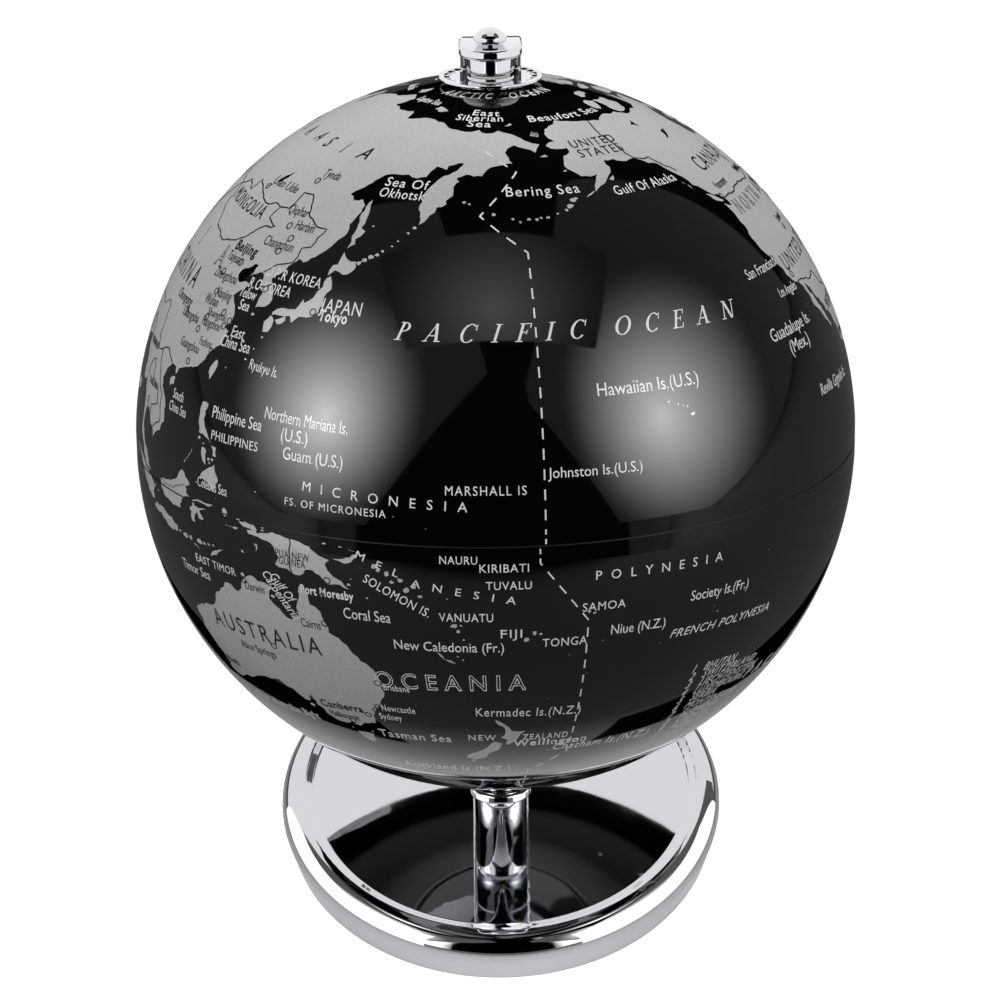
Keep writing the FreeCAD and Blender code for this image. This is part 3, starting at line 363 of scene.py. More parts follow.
# The coasts are drawn as east longitude and latitude in degrees, then roughened. A slash
# parts two outlines, and an islet has its size in degrees as well.
LAND = """
190,66 187.5,64.3 184,65.4 181,66.2 177.5,64.7 179.3,62.3 174,61.8 170.3,59.9 166,60.2 163.5,59.5
163,57.8 163.3,56.1 161.8,55.2 162.1,54.6 160,54 159.7,53 158.3,52 156.7,50.9 155.6,53.5 155.6,56
157,57.8 159.8,59.8 162,60.5 163.7,61.5 164.7,62.5 163,62.4 160.2,61.8 160,61 156.7,61.6 154.6,59.4
152,59 149,59.6 145.5,59.4 142,59 140,57.8 137.5,56 135.3,54.7 137.3,53.8 139.8,54.2 141.3,53.2
140.6,51 140.4,48.5 138.5,46.5 136,44.4 133.2,42.8 131.8,43.2 130.7,42.3 129.7,41 127.6,39.8
127.4,39.2 128.4,38.5 129.4,37 129.5,35.6 128,34.8 126.4,34.5 126.4,36 126.7,37 125,37.8 124.9,39.6
124.2,39.9 121.3,38.8 121.8,40.2 122.1,40.7 121,40.8 119.5,39.8 118,39.2 117.7,38.4 119,37.3
120.8,37.8 122.5,37.3 120.8,36.4 119.3,35.2 120.3,34.2 121.8,32 121.9,31 120.5,30.3 122,29.8
121.5,28.5 119.8,26.5 118.2,24.5 116.5,23 114.2,22.4 111,21.5 110.3,20.4 109.8,21.5 108.2,21.6
106.7,20.5 105.8,18.8 107.5,16.6 109,15 109.3,12.5 108,10.8 106.7,10.3 105,8.7 104.9,10 103.5,10.6
102.3,12.2 100.9,12.7 100.5,13.4 100,12 99.3,10 100,8.6 100.9,7 102.5,6.2 103.4,4.5 103.5,2.7
104.2,1.4 103.4,1.5 101.3,3 100.4,5 100.2,6.5 98.4,8 98.6,10 98.7,12 97.7,15 97.2,16.8 95.4,15.8
94.3,16 94.3,18.5 92.4,20.7 91.8,22.4 90.3,22 88.8,21.6 87,21.3 86.3,19.9 83.5,17.8 82.2,16.5
80.2,15.6 80.2,13 79.8,10.4 78.3,8.9 77.5,8.1 76.3,9.8 75,12 73.9,15.3 72.9,18.5 72.8,20.8 71,20.8
69,22.2 70.3,22.9 68.5,23.5 67.2,24.8 66.5,25.4 62,25.1 57.5,25.7 56.8,27 54.5,26.6 51.5,27.9
50.2,30 48.2,29.6 49,27.6 50.2,26.3 50.8,24.8 51.3,26 51.6,24.6 54,24.1 56.2,26.2 56.7,24.3
59.8,22.5 57.7,20.3 57,18.9 55,17.2 52.2,15.6 49,14.2 45,12.8 43.4,12.7 42.7,15.5 42.3,17
40.8,19.5 39.1,21.3 38.5,23.5 37,25.5 35,28 34.9,29.5 34.2,27.8 32.6,29.9 32.5,31.1 34.4,31.4
35,33 35.9,35.5 36.1,36.8 34,36.3 32.5,36.1 30.5,36.5 28,36.8 27.2,38.4 26.3,39.5 29,40.6
29.2,41.2 31.4,41.3 35,42 37,41.1 41.5,41.5 39,44 37.3,44.9 38.2,46.5 36,46.3 36.4,45.3 33.7,44.5
33,45.8 31,46.6 29.7,45.2 28.6,43.7 27.8,42.5 28.6,41.4 27.4,40.7 26,40.7 23.8,40.2 23,39.3 24,38
23,36.5 21.5,37 21,38.6 19.4,40.5 19.4,41.9 16,43.5 13.6,45 13.6,45.7 12.3,45.2 12.5,44 14,42.5
16,41.8 18.4,40.2 16.9,40.5 16.2,38 15.6,40 14,40.8 12.3,41.8 10.4,43.2 8.7,44.4 6.5,43.1 4,43.5
3.1,42.2 0.5,40.6 -0.2,38.7 -2,36.8 -5.4,36.1 -6.4,36.9 -8.9,37 -9.4,38.8 -8.7,41.5 -9.2,43.1
-5,43.5 -1.6,43.4 -1.2,46 -4.6,48 -1.8,48.7 -1.7,49.6 0.2,49.6 1.6,50.8 4,51.8 5,53.3 8.5,53.8
8.2,55.5 8.3,57 10.6,57.7 10.3,56 10.9,54 14.2,53.9 18.6,54.7 21,55.3 21.2,57 23.8,57.2 24.4,58.3
23.5,59.2 28,59.6 30,60 25,60.2 22.8,60 21.4,61.5 25,65 24,65.8 22,65.5 21,64 17.4,62 17.2,60.7
18.9,59.8 16.7,58.3 16.2,56.7 14.3,55.6 12.8,55.5 11.2,59 10.5,59.3 8,58.1 5.6,58.8 5,61.8 9,63.5
12.5,66 14.5,68 18,69.5 23,70.6 28,71 31,70.3 33,69.4 41,67.7 40.5,66.4 34,66.7 34.5,65 37.5,64
40,64.8 44,66.4 44,68.5 46,67 53,68.5 60,68.7 65,69 67,70 69,73 72.8,72.7 72,70 73.5,68 74.7,70
75,72 80,73.5 87,75 98,76.3 104,77.7 112,76.6 108,73.8 113.5,73.6 119,73 127,73.5 129.5,71.3
133,71.5 139.5,72.3 150,71.6 152.5,70.9 160,69.7 165,69.5 168,70 171,69.1 176,69.8 180,69 185,67.2
/-6,35.8 -2,35.1 3,36.9 10,37.3 11,35 10.2,34 15,32.3 19.5,30.5 20.2,32.5 23,32.6 29,31 32.5,31.2
32.6,29.9 35.5,24 37.3,20.8 39.5,15.5 43.2,12 43.5,11.5 51.2,11.8 49,7 46,3 42,-1 39.3,-5 40.5,-11
40.5,-15 35,-20 35.5,-24 32.8,-26 30.5,-31 26,-33.8 20,-34.8 18.3,-34 17.3,-29 14.5,-23 12,-17
13.7,-11 12,-5.5 9,-1 9.7,3.5 8,4.5 4.5,6.3 -2,4.8 -7.6,4.4 -13,8.5 -16.8,13 -17.4,14.7 -16.3,19
-17,21 -14.5,26 -9.8,29.8 -9.6,31.5
/49.3,-12 50.4,-15.5 47.2,-25 44,-24.5 43.5,-22 44.4,-16.2 47,-15
/192,65.6 196,66.4 194,68.3 198,70 203.5,71.3 214,70 219,69.6 225,69 232,70 240,69.5 245,68 252,68
263,68 265,70 266,72 268,69 275,69.5 278.5,69.6 275.5,66.5 273,65 266,63 265,60.8 265.3,58.8
267.5,57 278,55 277.5,53 279.5,51.3 281,52 281.5,54.5 283.5,56.5 282,60 282.5,62.5 286,62.3 290,61
290.5,59 293,58.5 295.5,60.3 298,57 302,54.5 304,52 300,50.2 294,50 290,47.5 293,49.1 295.7,48.8
295,46.5 300,45.5 296,44.5 294,43.6 294,45.2 290,43.8 289.2,42 290,41.7 286,40.6 284.7,38.5 284,37
284.5,35.3 281,33.5 278.7,31.5 280,27 279.6,25.2 278.2,26.5 277.3,28 276,30 271,30.3 270.8,29.2
265.5,29.5 262.7,27.5 262.3,22.5 264,18.8 268,18.6 269.6,21.2 273,21.4 272,18 271.5,15.9 276.8,15.5
276.5,11.5 278.5,9 281,9.5 282.8,8.2 282,7.3 280,7.3 277,8.3 274.3,10 272.3,12.9 268,14 265.5,16.1
261,16.6 255,19.3 254.5,21.8 250.8,25.5 248,28.5 245.3,31.6 245.4,30.3 247.2,28 248.8,25.7
250.5,23.2 250,22.9 247.9,24.8 245,27.8 244.2,30.5 242.8,32.5 239.5,34.5 237.5,37.8 235.7,40.4
236,46.2 235.3,48.3 237.7,47.4 237,49.2 232.5,51.5 229.5,54.5 225.5,58 220.5,59.7 214,60.2
211.8,60.9 208.3,61 208.5,59.5 206,58 202,56.5 200,55.7 196.5,54.8 201.5,57.5 203,58.7 198,58.7
194.5,61 196,63 199,63.7 199,64.6 195,64.6
/282.8,8.2 284.5,10.5 288.3,12.2 290,11.5 298,10.7 302.5,8 308,5.5 310,1.5 310.5,0 316,-2.5 320,-3
324.8,-5.5 325.2,-8 321,-13 321,-17.5 319,-22 313,-24 311.5,-28.5 306.5,-34 302.5,-34.3 303.5,-36.5
302,-38.5 298,-39 297,-42.5 294.5,-45.5 291,-51 294.8,-54.8 291,-55 285.5,-52.5 284.5,-47 287,-42
286.5,-37 288.5,-32 289.7,-23 289.7,-18.3 283.7,-13.7 281.2,-8 278.8,-5 280,-3 279.2,-1 280,1
282.8,4 282.5,7
/287,78.5 293,80.8 300,82 320,83.3 335,82.8 348,81.8 340,79 341,76 338,72.5 337,70.5 325,68 322,66
317,60.2 313,61 308.5,64.5 307,67.5 305.5,70 302,74 300,75.5 292,76
/270.5,73 280,73.5 283,72.5 292,70.5 298.5,67 295,65.5 295.5,63.5 291,62.8 287,64.3 283.5,64.7
287,67 286,68.5 281,69.8 272,70.8 /243,70.4 244,73.3 248,72.8 255,72.8 256,70 252,68.8 244,69
/235,71.5 236,74 239,74.2 243,73.2 237,71 /270,77 273,80.5 268,81.3 282,83 297,82.3 284,79 282,76.5
/264,76 280,75.6 279,74.7 268,74.7 /265,79 267,81 272,80.3 270,78.2 /243,75 244,76.3 254,76.2
254,75 246,74.6 /273,64 275,65.7 279.5,63.8 273.5,63.3 /301,47.7 304,51.3 304.5,49.6 307.2,47.5
306,46.7 /275.2,21.9 277.5,23.1 285.8,20.2 282.5,19.9 /286,18.4 287,19.9 291.5,18.7 289,18
/336,65.5 337.5,66.4 345.5,66 346,64.7 341,63.5 337.5,63.9 /354.5,50.1 357,51.4 355,51.8 355.7,53.2
357,54 355,54.8 354,56.8 355,58.6 356.8,58.5 358,57.5 356.7,56 358.8,54.5 361.6,52.7 361.3,51.2
356.5,50.3 /350,51.8 353.6,52.2 354,54.6 352,55.3 350,54.2 350.8,53 /52,71 56,73.5 65,76.3
68.5,76.8 60,75 57,71 /11,79.5 20,80 27,80 18,77 14,77.5 /95,79 100,80.8 105,79 100,78.2
/137.5,75.3 140,76.2 145,75.6 147.5,75 142,74.5 /178.8,70.9 181.5,71.6 182.5,71.2 181,70.9
/140.9,41.5 142,39.6 141,38.2 140.8,35.8 139.9,35.1 138.8,34.7 137,34.6 135.8,33.5 135.1,34.5
132.5,34.2 131,34 131,34.5 132.7,35.4 135.8,35.6 136.8,37.4 137.2,36.8 138.8,37.9 140,39.8
140.2,41.2 /140.1,41.6 140.4,43.2 141.4,43.4 141.8,45.4 143,44.4 145.2,44.2 145.6,43.3 143.3,42
141.3,42.5 /130.8,33.9 131.9,33.2 131.4,31.4 130.3,31.2 129.8,32.8 /132.1,33.4 134.2,34.3
134.4,33.6 132.9,32.8 /142.6,54.3 143.3,52.5 143.2,49.5 144.6,49 143,47.6 143.4,46.8 142,46
141.9,48 142.1,50.5 141.8,53 /121.5,25.2 121.9,25 120.9,22 120.2,23 /108.7,19.3 110.5,20
110.5,18.8 109.2,18.3 /120.6,18.5 122.2,18.4 121.6,16 123,14 124,12.8 123,13.4 120.8,13.8
120.3,16 /122,7 123.5,8.6 125.5,9.8 126.5,7.5 125.4,5.7 124,6.7 /124.3,12.5 125.5,12.4 125.7,11
124.9,11 /122,11.8 123.2,11.4 123.2,9.2 122.4,9.8 122,10.6 /117.3,8.4 119.5,11.3 119.3,10.3
117.5,8.2 /109,1.5 109.6,2 111.3,2.5 113,3.2 115.4,5.4 116.8,7 119.2,5.2 117.8,4 118,2 119,1
117.5,0.5 116.5,-1.8 116,-4 114.5,-4 112,-3.4 110.2,-2.8 109.2,-0.3 /95.3,5.6 97.5,5.2 100.3,2.8
103.8,0 106,-3 105.8,-5.8 104.5,-5.9 102,-3.8 100.3,-1 98.7,1.7 /105.2,-6.8 106.8,-6 110.5,-6.6
112.6,-6.9 114.5,-7.7 114.4,-8.7 110,-8.1 106.5,-7.4 /119.8,0.6 121,1.3 125.2,1.6 124,0.4
120.2,0.4 120.2,-0.9 121,-1.2 123.4,-0.8 121.6,-1.9 122.8,-4.2 121.5,-4.6 120.9,-2.7 120.3,-5.6
119.5,-5.5 119.5,-3.4 118.9,-2.8 119.7,0 /123.5,-10.3 125,-9 127.2,-8.4 125.2,-9.7 /127.5,0
127.8,2 128.5,1 128,-0.8 /128,-3.2 130.8,-3 130.5,-3.8 128.2,-3.5 /134.1,-5.7 134.7,-5.8
134.4,-6.9 /119,-9.4 120.8,-10 119.8,-9.3 /131,-0.9 132.5,-0.4 134.2,-0.8 134.8,-3.3 137.8,-1.6
141,-2.6 144.5,-3.9 146,-5.5 147.8,-6 147,-6.8 148.3,-8.6 150.8,-10.4 147.5,-10 146,-8.7
143.5,-8.2 142.5,-9.3 140.8,-9 138,-8.3 138.8,-7 138,-5.5 135.5,-4.4 133,-4 132.8,-2.8
133.8,-2.3 132,-2.1 /148.4,-5.7 150,-5.5 152.2,-4.2 152.3,-4.9 150.3,-6.2 /150.8,-2.6 153,-4.5
152.7,-3.5 /113.7,-22.2 114.2,-21.8 116.5,-20.7 119,-20 121.5,-19 122.2,-18 123,-16.6 124.5,-15.6
126,-14.1 127.5,-14.1 129,-15 130.2,-13 131,-12.2 132.6,-11.3 135.5,-12 136.8,-12.2 135.8,-14.6
137.5,-16 139.5,-17.5 141,-16.8 141.6,-13.5 142.4,-10.8 143.6,-14 145.3,-15 146.2,-18.6 149,-20.5
150.9,-23.3 153.2,-25.5 153.5,-28.5 152.5,-32 150.5,-35 149.9,-37.5 147,-38.2 146.3,-39
144.6,-38.1 143.5,-38.8 140.5,-38 139,-35.8 138.2,-35.4 138.4,-34.5 137.8,-33 137,-34.8
135.8,-34.8 134,-32.8 131.2,-31.5 128.5,-31.9 126,-32.3 124,-33 121.8,-33.9 120,-34 117.8,-35.1
115,-34.3 115.7,-32 114.8,-29.5 113.3,-26.2 /144.7,-40.8 148.2,-40.9 148,-42.8 146.8,-43.6
145.5,-42.6 /172.8,-34.5 174.3,-35.5 175.4,-36.6 176,-37.6 178.4,-37.7 177.2,-39.4 176.8,-40.2
175.3,-41.6 174.8,-41.3 175.1,-40 173.8,-39.3 174.7,-38.2 174.6,-36.8 /172.7,-40.6 174.2,-41.2
173.8,-42.3 172.7,-43.6 171.2,-44.6 170.6,-45.9 168.5,-46.6 166.5,-46 168,-44.3 170.5,-43
171.5,-41.8 /164,-20.1 166.9,-22.3 165.2,-21.6 /79.8,8 80.3,9.6 81.8,7.5 80.7,6
/231.8,50.7 236.4,48.6 234.3,48.9 /227,54 228.3,53.4 229,52.1 /205.6,57.4 207.6,58 206.5,57
/188.3,63.3 190.2,63.7 191,63.2 /193.3,60 194.5,60.3 194.4,59.9
/0,-70 15,-69.5 30,-69 40,-68.8 50,-66.5 60,-67.3 70,-69 75,-69.8 80,-67.5 90,-66.5 100,-66 110,-66
120,-66.8 130,-66 140,-66.8 150,-68.5 160,-70 170,-71.5 170,-74 165,-77.5 180,-78 195,-78.5
203,-77 210,-76.2 220,-75 235,-74 250,-73 260,-73.5 275,-73 285,-73.3 292,-68 300,-64 303,-63.3
299,-66.5 296,-72 299,-76 315,-78 330,-76.5 345,-72
"""
LAKES = """47.5,45.5 51,46.8 53,45.2 50.5,44.3 52.8,41 53.8,39 53,36.8 50,37.4 49.3,40.2 47.5,43
/268,46.7 272,48.8 275.5,46.5 272,46.8 /272.3,42 272.6,45.6 275,45.8 274,42.4 /276,45.9 279.5,45.3
278.3,43.2 276.7,44 /236,66 240,66.8 239.5,65 /243.5,61 246,62.6 250.5,62.6 246,61.3
/261,53.5 262.9,52.5 263.2,50.7 261.7,52 /31.8,0.2 34.2,0 33.5,-2.6 31.8,-2.3
/103.8,51.5 108.2,53.2 109.8,55.7 106.5,53 /60,44 61.5,46.5 60,46.2 58.5,45"""
ISLETS = """204.4,19.6,.45 203.6,20.8,.2 202.9,21.1,.12 202,21.4,.2 200.4,22,.2 196,23,.06 193,24,.06
178,-17.8,.6 179.2,-16.7,.45 180.2,-16.9,.3 187.6,-13.6,.3 188.4,-13.9,.3 166.9,-15.3,.55
167.5,-16.3,.4 168.3,-17.7,.22 169.3,-19.1,.2 168,-15.2,.2 167.2,-20.9,.2 168,-21.5,.2
155.1,-6.1,.6 155.6,-6.7,.4 157,-7.1,.5 157.7,-8.4,.4 159,-8,.5 160,-9.6,.6 161,-9,.5 162,-10.5,.35
166,-10.7,.15 144.8,13.5,.14 145.7,15.2,.1 134.6,7.5,.16 158.2,6.9,.1 163,5.3,.1 151.8,7.4,.06
190.1,-19,.1 184.8,-21.1,.1 200.2,-21.2,.1 210.4,-17.6,.18 209.5,-16.5,.1 219.9,-9.5,.12
176.5,-44,.14 183.4,-44,.2 182,-30,.08 188,-25,.06 146,50,.2 155.8,50.3,.35 154.8,49.4,.25
153,48,.18 152,47.1,.22 150.3,46.2,.3 149.3,45.6,.4 148,45.1,.5 147,44.6,.4 146,44.1,.4 145.9,43.8,.2
192.7,54.6,.5 193.6,54.8,.3 191.6,53.6,.5 190.3,53,.3 188,52.5,.25 185.6,52,.3 184,52,.25 183,51.8,.3
181.2,51.9,.3 179.2,51.5,.25 177.6,52,.25 173.3,52.9,.35 166.3,55,.3 167.6,54.7,.2 163.8,58.8,.3
126.5,33.4,.35 128.3,26.6,.25 129.5,28.4,.2 124.2,24.5,.14 130.6,30.4,.25 121.1,13,.4 123.9,10.3,.35
124.8,10.4,.35 124.2,9.8,.25 122.3,12.4,.25 121,6,.16 126,4,.15 117,-8.6,.6 115.2,-8.4,.3
116.4,-8.6,.3 118.5,-8.6,.5 121,-8.6,.7 122.3,-8.6,.4 123.4,-8.4,.3 124.6,-8.3,.3 131.5,-7.6,.3
130.9,-.3,.4 136,-1,.3 135.9,-1.8,.3 147,-2.1,.4 149.7,-2.5,.3 150.8,-9.6,.3 151.2,-8.6,.14
153.6,-11.5,.2 136.6,-14,.4 137,-35.8,.5 130.8,-11.6,.4 148.2,-40.1,.2 144,-39.9,.2 167.9,-46.9,.4
166.1,-50.7,.14 169.1,-52.5,.08 168,-29,.06 159.1,-31.5,.06 106.3,-2,.4 107.8,-2.9,.3 98,1,.3
99,-2,.3 55,80.5,.5 60,80.7,.5 50,80.4,.3 45,-12,.08 55.5,-21.1,.25 57.5,-20.3,.22 72,-7,.06
345.5,28.1,.3 343,28.3,.25 341,37.8,.15 336,16,.2 282.5,18.1,.5 293.5,18.2,.5 298.6,10.4,.3
300.5,-51.7,.7 323,-54.4,.4 269,-.6,.4 281.6,-27,.05 250.6,-27.1,.1 324,77.5,.1 8.8,42.2,.35
9,40,.6 14,37.5,.7 25,35.2,.5 33,35,.45 28,36.2,.2 2.9,39.6,.3 241.7,28.9,.1 249,18.8,.1"""
rng = random.Random(7)


def read_outlines(text):
    """Outlines as lists of longitude and latitude."""
    return [[tuple(map(float, pair.split(","))) for pair in part.split()]
            for part in text.split("/")]


def roughen(points, step=1.1, rough=0.16, closed=True):
    """Split the sides of an outline until they are short, throwing each middle aside a little."""
    made = []
    for first, last in zip(points, points[1:] + points[:closed]):
        side = [first, (first[0] + (last[0] - first[0] + 180) % 360 - 180, last[1])]
        while True:
            narrow = math.cos(math.radians(min(80, abs(side[0][1]))))
            reach = math.hypot((side[1][0] - side[0][0]) * narrow, side[1][1] - side[0][1])
            if reach < step:
                break
            finer = []
            for (x0, y0), (x1, y1) in zip(side, side[1:]):
                throw = rng.uniform(-rough, rough)
                finer += [(x0, y0), ((x0 + x1) / 2 - (y1 - y0) * throw / narrow,
                                     (y0 + y1) / 2 + (x1 - x0) * throw * narrow)]
            side = finer + [last]
        made += side[:-1]
    return made if closed else made + points[-1:]


def islet(lon, lat, size, sides=7, sway=0.3):
    """A small ragged island, a little wider than it is long."""
    turns = [math.tau * (step + rng.uniform(-sway, sway)) / sides for step in range(sides)]
    narrow = math.cos(math.radians(lat))
    reach = [size * rng.uniform(0.6, 1.2) for _ in turns]
    return [(lon + far * math.cos(turn) / narrow, lat + 0.8 * far * math.sin(turn))
            for turn, far in zip(turns, reach)]


def drawn(lon, lat):
    """Where the printer puts a place in degrees."""
    lon = np.asarray(lon, float) % 360
    lat = np.asarray(lat, float)
    north = lat >= 0
    far = np.abs(lat)
    fades = [np.clip((end - far) / (end - start), 0, 1)
             for start, end in (NORTH_FADE, SOUTH_FADE)]
    pull = np.minimum(far / 2, np.where(north, NORTH_PULL, SOUTH_PULL)) * np.where(north, *fades)
    lead = (np.clip((lon - SHIFT_IN[0]) / (SHIFT_IN[1] - SHIFT_IN[0]), 0, 1)
            * np.clip((SHIFT_OUT[1] - lon) / (SHIFT_OUT[1] - SHIFT_OUT[0]), 0, 1))
    return lon + np.where(north, SHIFT * lead, 0), np.sign(lat) * (far - pull)


def on_ball(lon, lat, lift=0.0):
    """Points on the ball, with its straight belt, lift metres above it."""
    turn, rise = np.radians(np.asarray(lon) - FRONT_LONGITUDE), np.radians(lat)
    out = BALL * np.cos(rise)
    up = BALL * np.sin(rise)
    out = np.where(np.abs(up) < BELT, math.sqrt(BALL ** 2 - BELT ** 2), out)
    grow = 1 + np.asarray(lift) / BALL
    frame3 = np.array([front, (1, 0, 0), polar_axis])
    local = np.stack([out * np.cos(turn) * grow, out * np.sin(turn) * grow, up * grow], axis=-1)
    return local @ frame3 + np.array(ball_centre)


def flat(lon, lat, half):
    """The polar projection in which a half is triangulated."""
    away = 90 - half * np.asarray(lat)
    turn = np.radians(lon)
    return np.stack([away * np.cos(turn), away * np.sin(turn)], axis=-1)


land = [roughen(part) for part in read_outlines(LAND)]
land += [islet(*map(float, spot.split(","))) for spot in ISLETS.split()]
lakes = [roughen(part) for part in read_outlines(LAKES)]


def circle(away, count):
    """A loop of count points, away degrees from the pole, in that projection."""
    turn = math.tau * np.arange(count) / count
    return np.stack([away * np.cos(turn), away * np.sin(turn)], axis=-1)


def inside(spots, loop):
    """Which spots an outline holds, by counting its crossings to the right of each."""
    found = np.zeros(len(spots), bool)
    near = np.all((spots > loop.min(axis=0)) & (spots < loop.max(axis=0)), axis=1)
    x, y = (values[:, None] for values in spots[near].T)
    (x0, y0), (x1, y1) = loop.T, np.roll(loop, -1, axis=0).T
    rise = np.where(y1 == y0, 1, y1 - y0)
    crossed = ((y0 > y) != (y1 > y)) & (x < x0 + (y - y0) * (x1 - x0) / rise)
    found[near] = crossed.sum(axis=1) % 2
    return found


def map_skin(name, half, materials):
    """One half's printed film: land and sea faces outside, plain inside, closed at its edges."""
    points, sides = [], []

    def add_loop(loop):
        first, count = len(points), len(loop)
        sides.extend((first + place, first + (place + 1) % count) for place in range(count))
        points.extend(Vector(point) for point in loop)
        return loop

    seam_away = 90 - math.degrees(math.asin(SEAM / BALL))
    belt_away = 90 - math.degrees(math.asin(BELT / BALL))
    hole_away = math.degrees(math.asin(POLE_HOLE / BALL))
    for away, count in ((seam_away, SEAM_SIDES), (belt_away, BELT_SIDES), (hole_away, HOLE_SIDES)):
        add_loop(circle(away, count))
    near_land = [part for part in land if max(half * lat for _, lat in part) > -1]
    coasts = [add_loop(flat(*drawn(*zip(*part)), half)) for part in near_land]
    shores = [add_loop(flat(*drawn(*zip(*part)), half)) for part in lakes]
    for away in np.arange(*RINGS):
        ring = circle(away, max(HOLE_SIDES // 2, round(BELT_SIDES * math.sin(math.radians(away)))))
        points.extend(Vector(point) for point in ring)
    flat_points, _, found, _, _, _ = delaunay_2d_cdt(points, sides, [], 0, 1e-5, False)
    flat_points = np.array([tuple(point) for point in flat_points])
    middles = flat_points[np.array(found)].mean(axis=1)
    away = np.hypot(*middles.T)
    within = (away < seam_away) & (away > hole_away)
    is_land = np.zeros(len(found), bool)
    for loop in coasts:
        is_land |= inside(middles, loop)
    for loop in shores:
        is_land &= ~inside(middles, loop)
    kept = [list(found[place])[::half] for place in np.flatnonzero(within)]
    kinds = is_land[within].astype(int).tolist()
    used = sorted({corner for corners in kept for corner in corners})
    number = {old: new for new, old in enumerate(used)}
    kept = [[number[corner] for corner in corners] for corners in kept]
    away = np.hypot(*flat_points[used].T)
    lon = np.degrees(np.arctan2(flat_points[used, 1], flat_points[used, 0]))
    lat = half * (90 - away)
    outer = on_ball(lon, lat)
    inner = on_ball(lon, lat, -FILM)
    count = len(used)
    edges = {side for corners in kept for side in zip(corners, corners[1:] + corners[:1])}
    rims = sorted(side for side in edges if side[::-1] not in edges)
    all_faces = kept + [[corner + count for corner in corners[::-1]] for corners in kept]
    all_faces += [[b, a, a + count, b + count] for a, b in rims]
    mesh = bpy.data.meshes.new(name)
    mesh.from_pydata([tuple(point) for point in np.concatenate([outer, inner])], [], all_faces)
    for material in materials:
        mesh.materials.append(material)
    mesh.polygons.foreach_set("material_index", kinds + [0] * (len(all_faces) - len(kinds)))
    piece = bpy.data.objects.new(name, mesh)
    bpy.context.scene.collection.objects.link(piece)
    true_normals(mesh)
    return piece


def true_normals(mesh):
    """Shade with the ball's own normals, so that reflections run on over every triangle."""
    mesh.polygons.foreach_set("use_smooth", [True] * len(mesh.polygons))
    centre = np.array(ball_centre)
    axis = np.array(polar_axis)
    spots = np.empty(len(mesh.vertices) * 3)
    mesh.vertices.foreach_get("co", spots)
    spots = spots.reshape(-1, 3) - centre
    corner_vertex = np.empty(len(mesh.loops), int)
    mesh.loops.foreach_get("vertex_index", corner_vertex)
    sizes = np.empty(len(mesh.polygons), int)
    mesh.polygons.foreach_get("loop_total", sizes)
    plain = np.empty(len(mesh.polygons) * 3)
    mesh.polygons.foreach_get("normal", plain)
    plain = plain.reshape(-1, 3)
    middles = np.empty(len(mesh.polygons) * 3)
    mesh.polygons.foreach_get("center", middles)
    middles = middles.reshape(-1, 3) - centre
    owner = np.repeat(np.arange(len(sizes)), sizes)
    normals = spots[corner_vertex]
    on_belt = np.abs(middles @ axis)[owner] < BELT
    normals[on_belt] -= np.outer(normals[on_belt] @ axis, axis)
    normals /= np.linalg.norm(normals, axis=1)[:, None]
    facing = np.einsum("ij,ij->i", normals, plain[owner])
    normals[facing < 0] *= -1
    edge_on = np.abs(facing) < 0.5
    normals[edge_on] = plain[owner][edge_on]
    mesh.normals_split_custom_set([tuple(normal) for normal in normals])


sea, tree, shader = new_material("gloss_black_printed_film", "060607", 0.06, Coat_Weight=1.0,
                                 Coat_Roughness=0.03)
place = place_pattern(tree)
tree.links.new(spread(tree, grain(tree, place, 6), 0.04, 0.1), shader.inputs["Roughness"])
silver, tree, shader = new_material("silver_ink_under_lacquer", "d2d3d4", 0.42, 0.35,
                                    Coat_Weight=0.6, Coat_Roughness=0.12)
place = place_pattern(tree)
fleck = spread(tree, grain(tree, place, 0.35), 0, 1)
shade = add_node(tree, "ShaderNodeMix", [(fleck, "Factor")], data_type="RGBA")
shade.inputs["A"].default_value = linear("cbcccd")
shade.inputs["B"].default_value = linear("d9dadb")
tree.links.new(shade.outputs["Result"], shader.inputs["Base Color"])
for half, name in ((1, "north_map_skin"), (-1, "south_map_skin")):
    piece = map_skin(name.replace("skin", "print"), half, [sea, silver])
    printed.objects.link(piece)
    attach(piece, "globe")
    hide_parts(name)


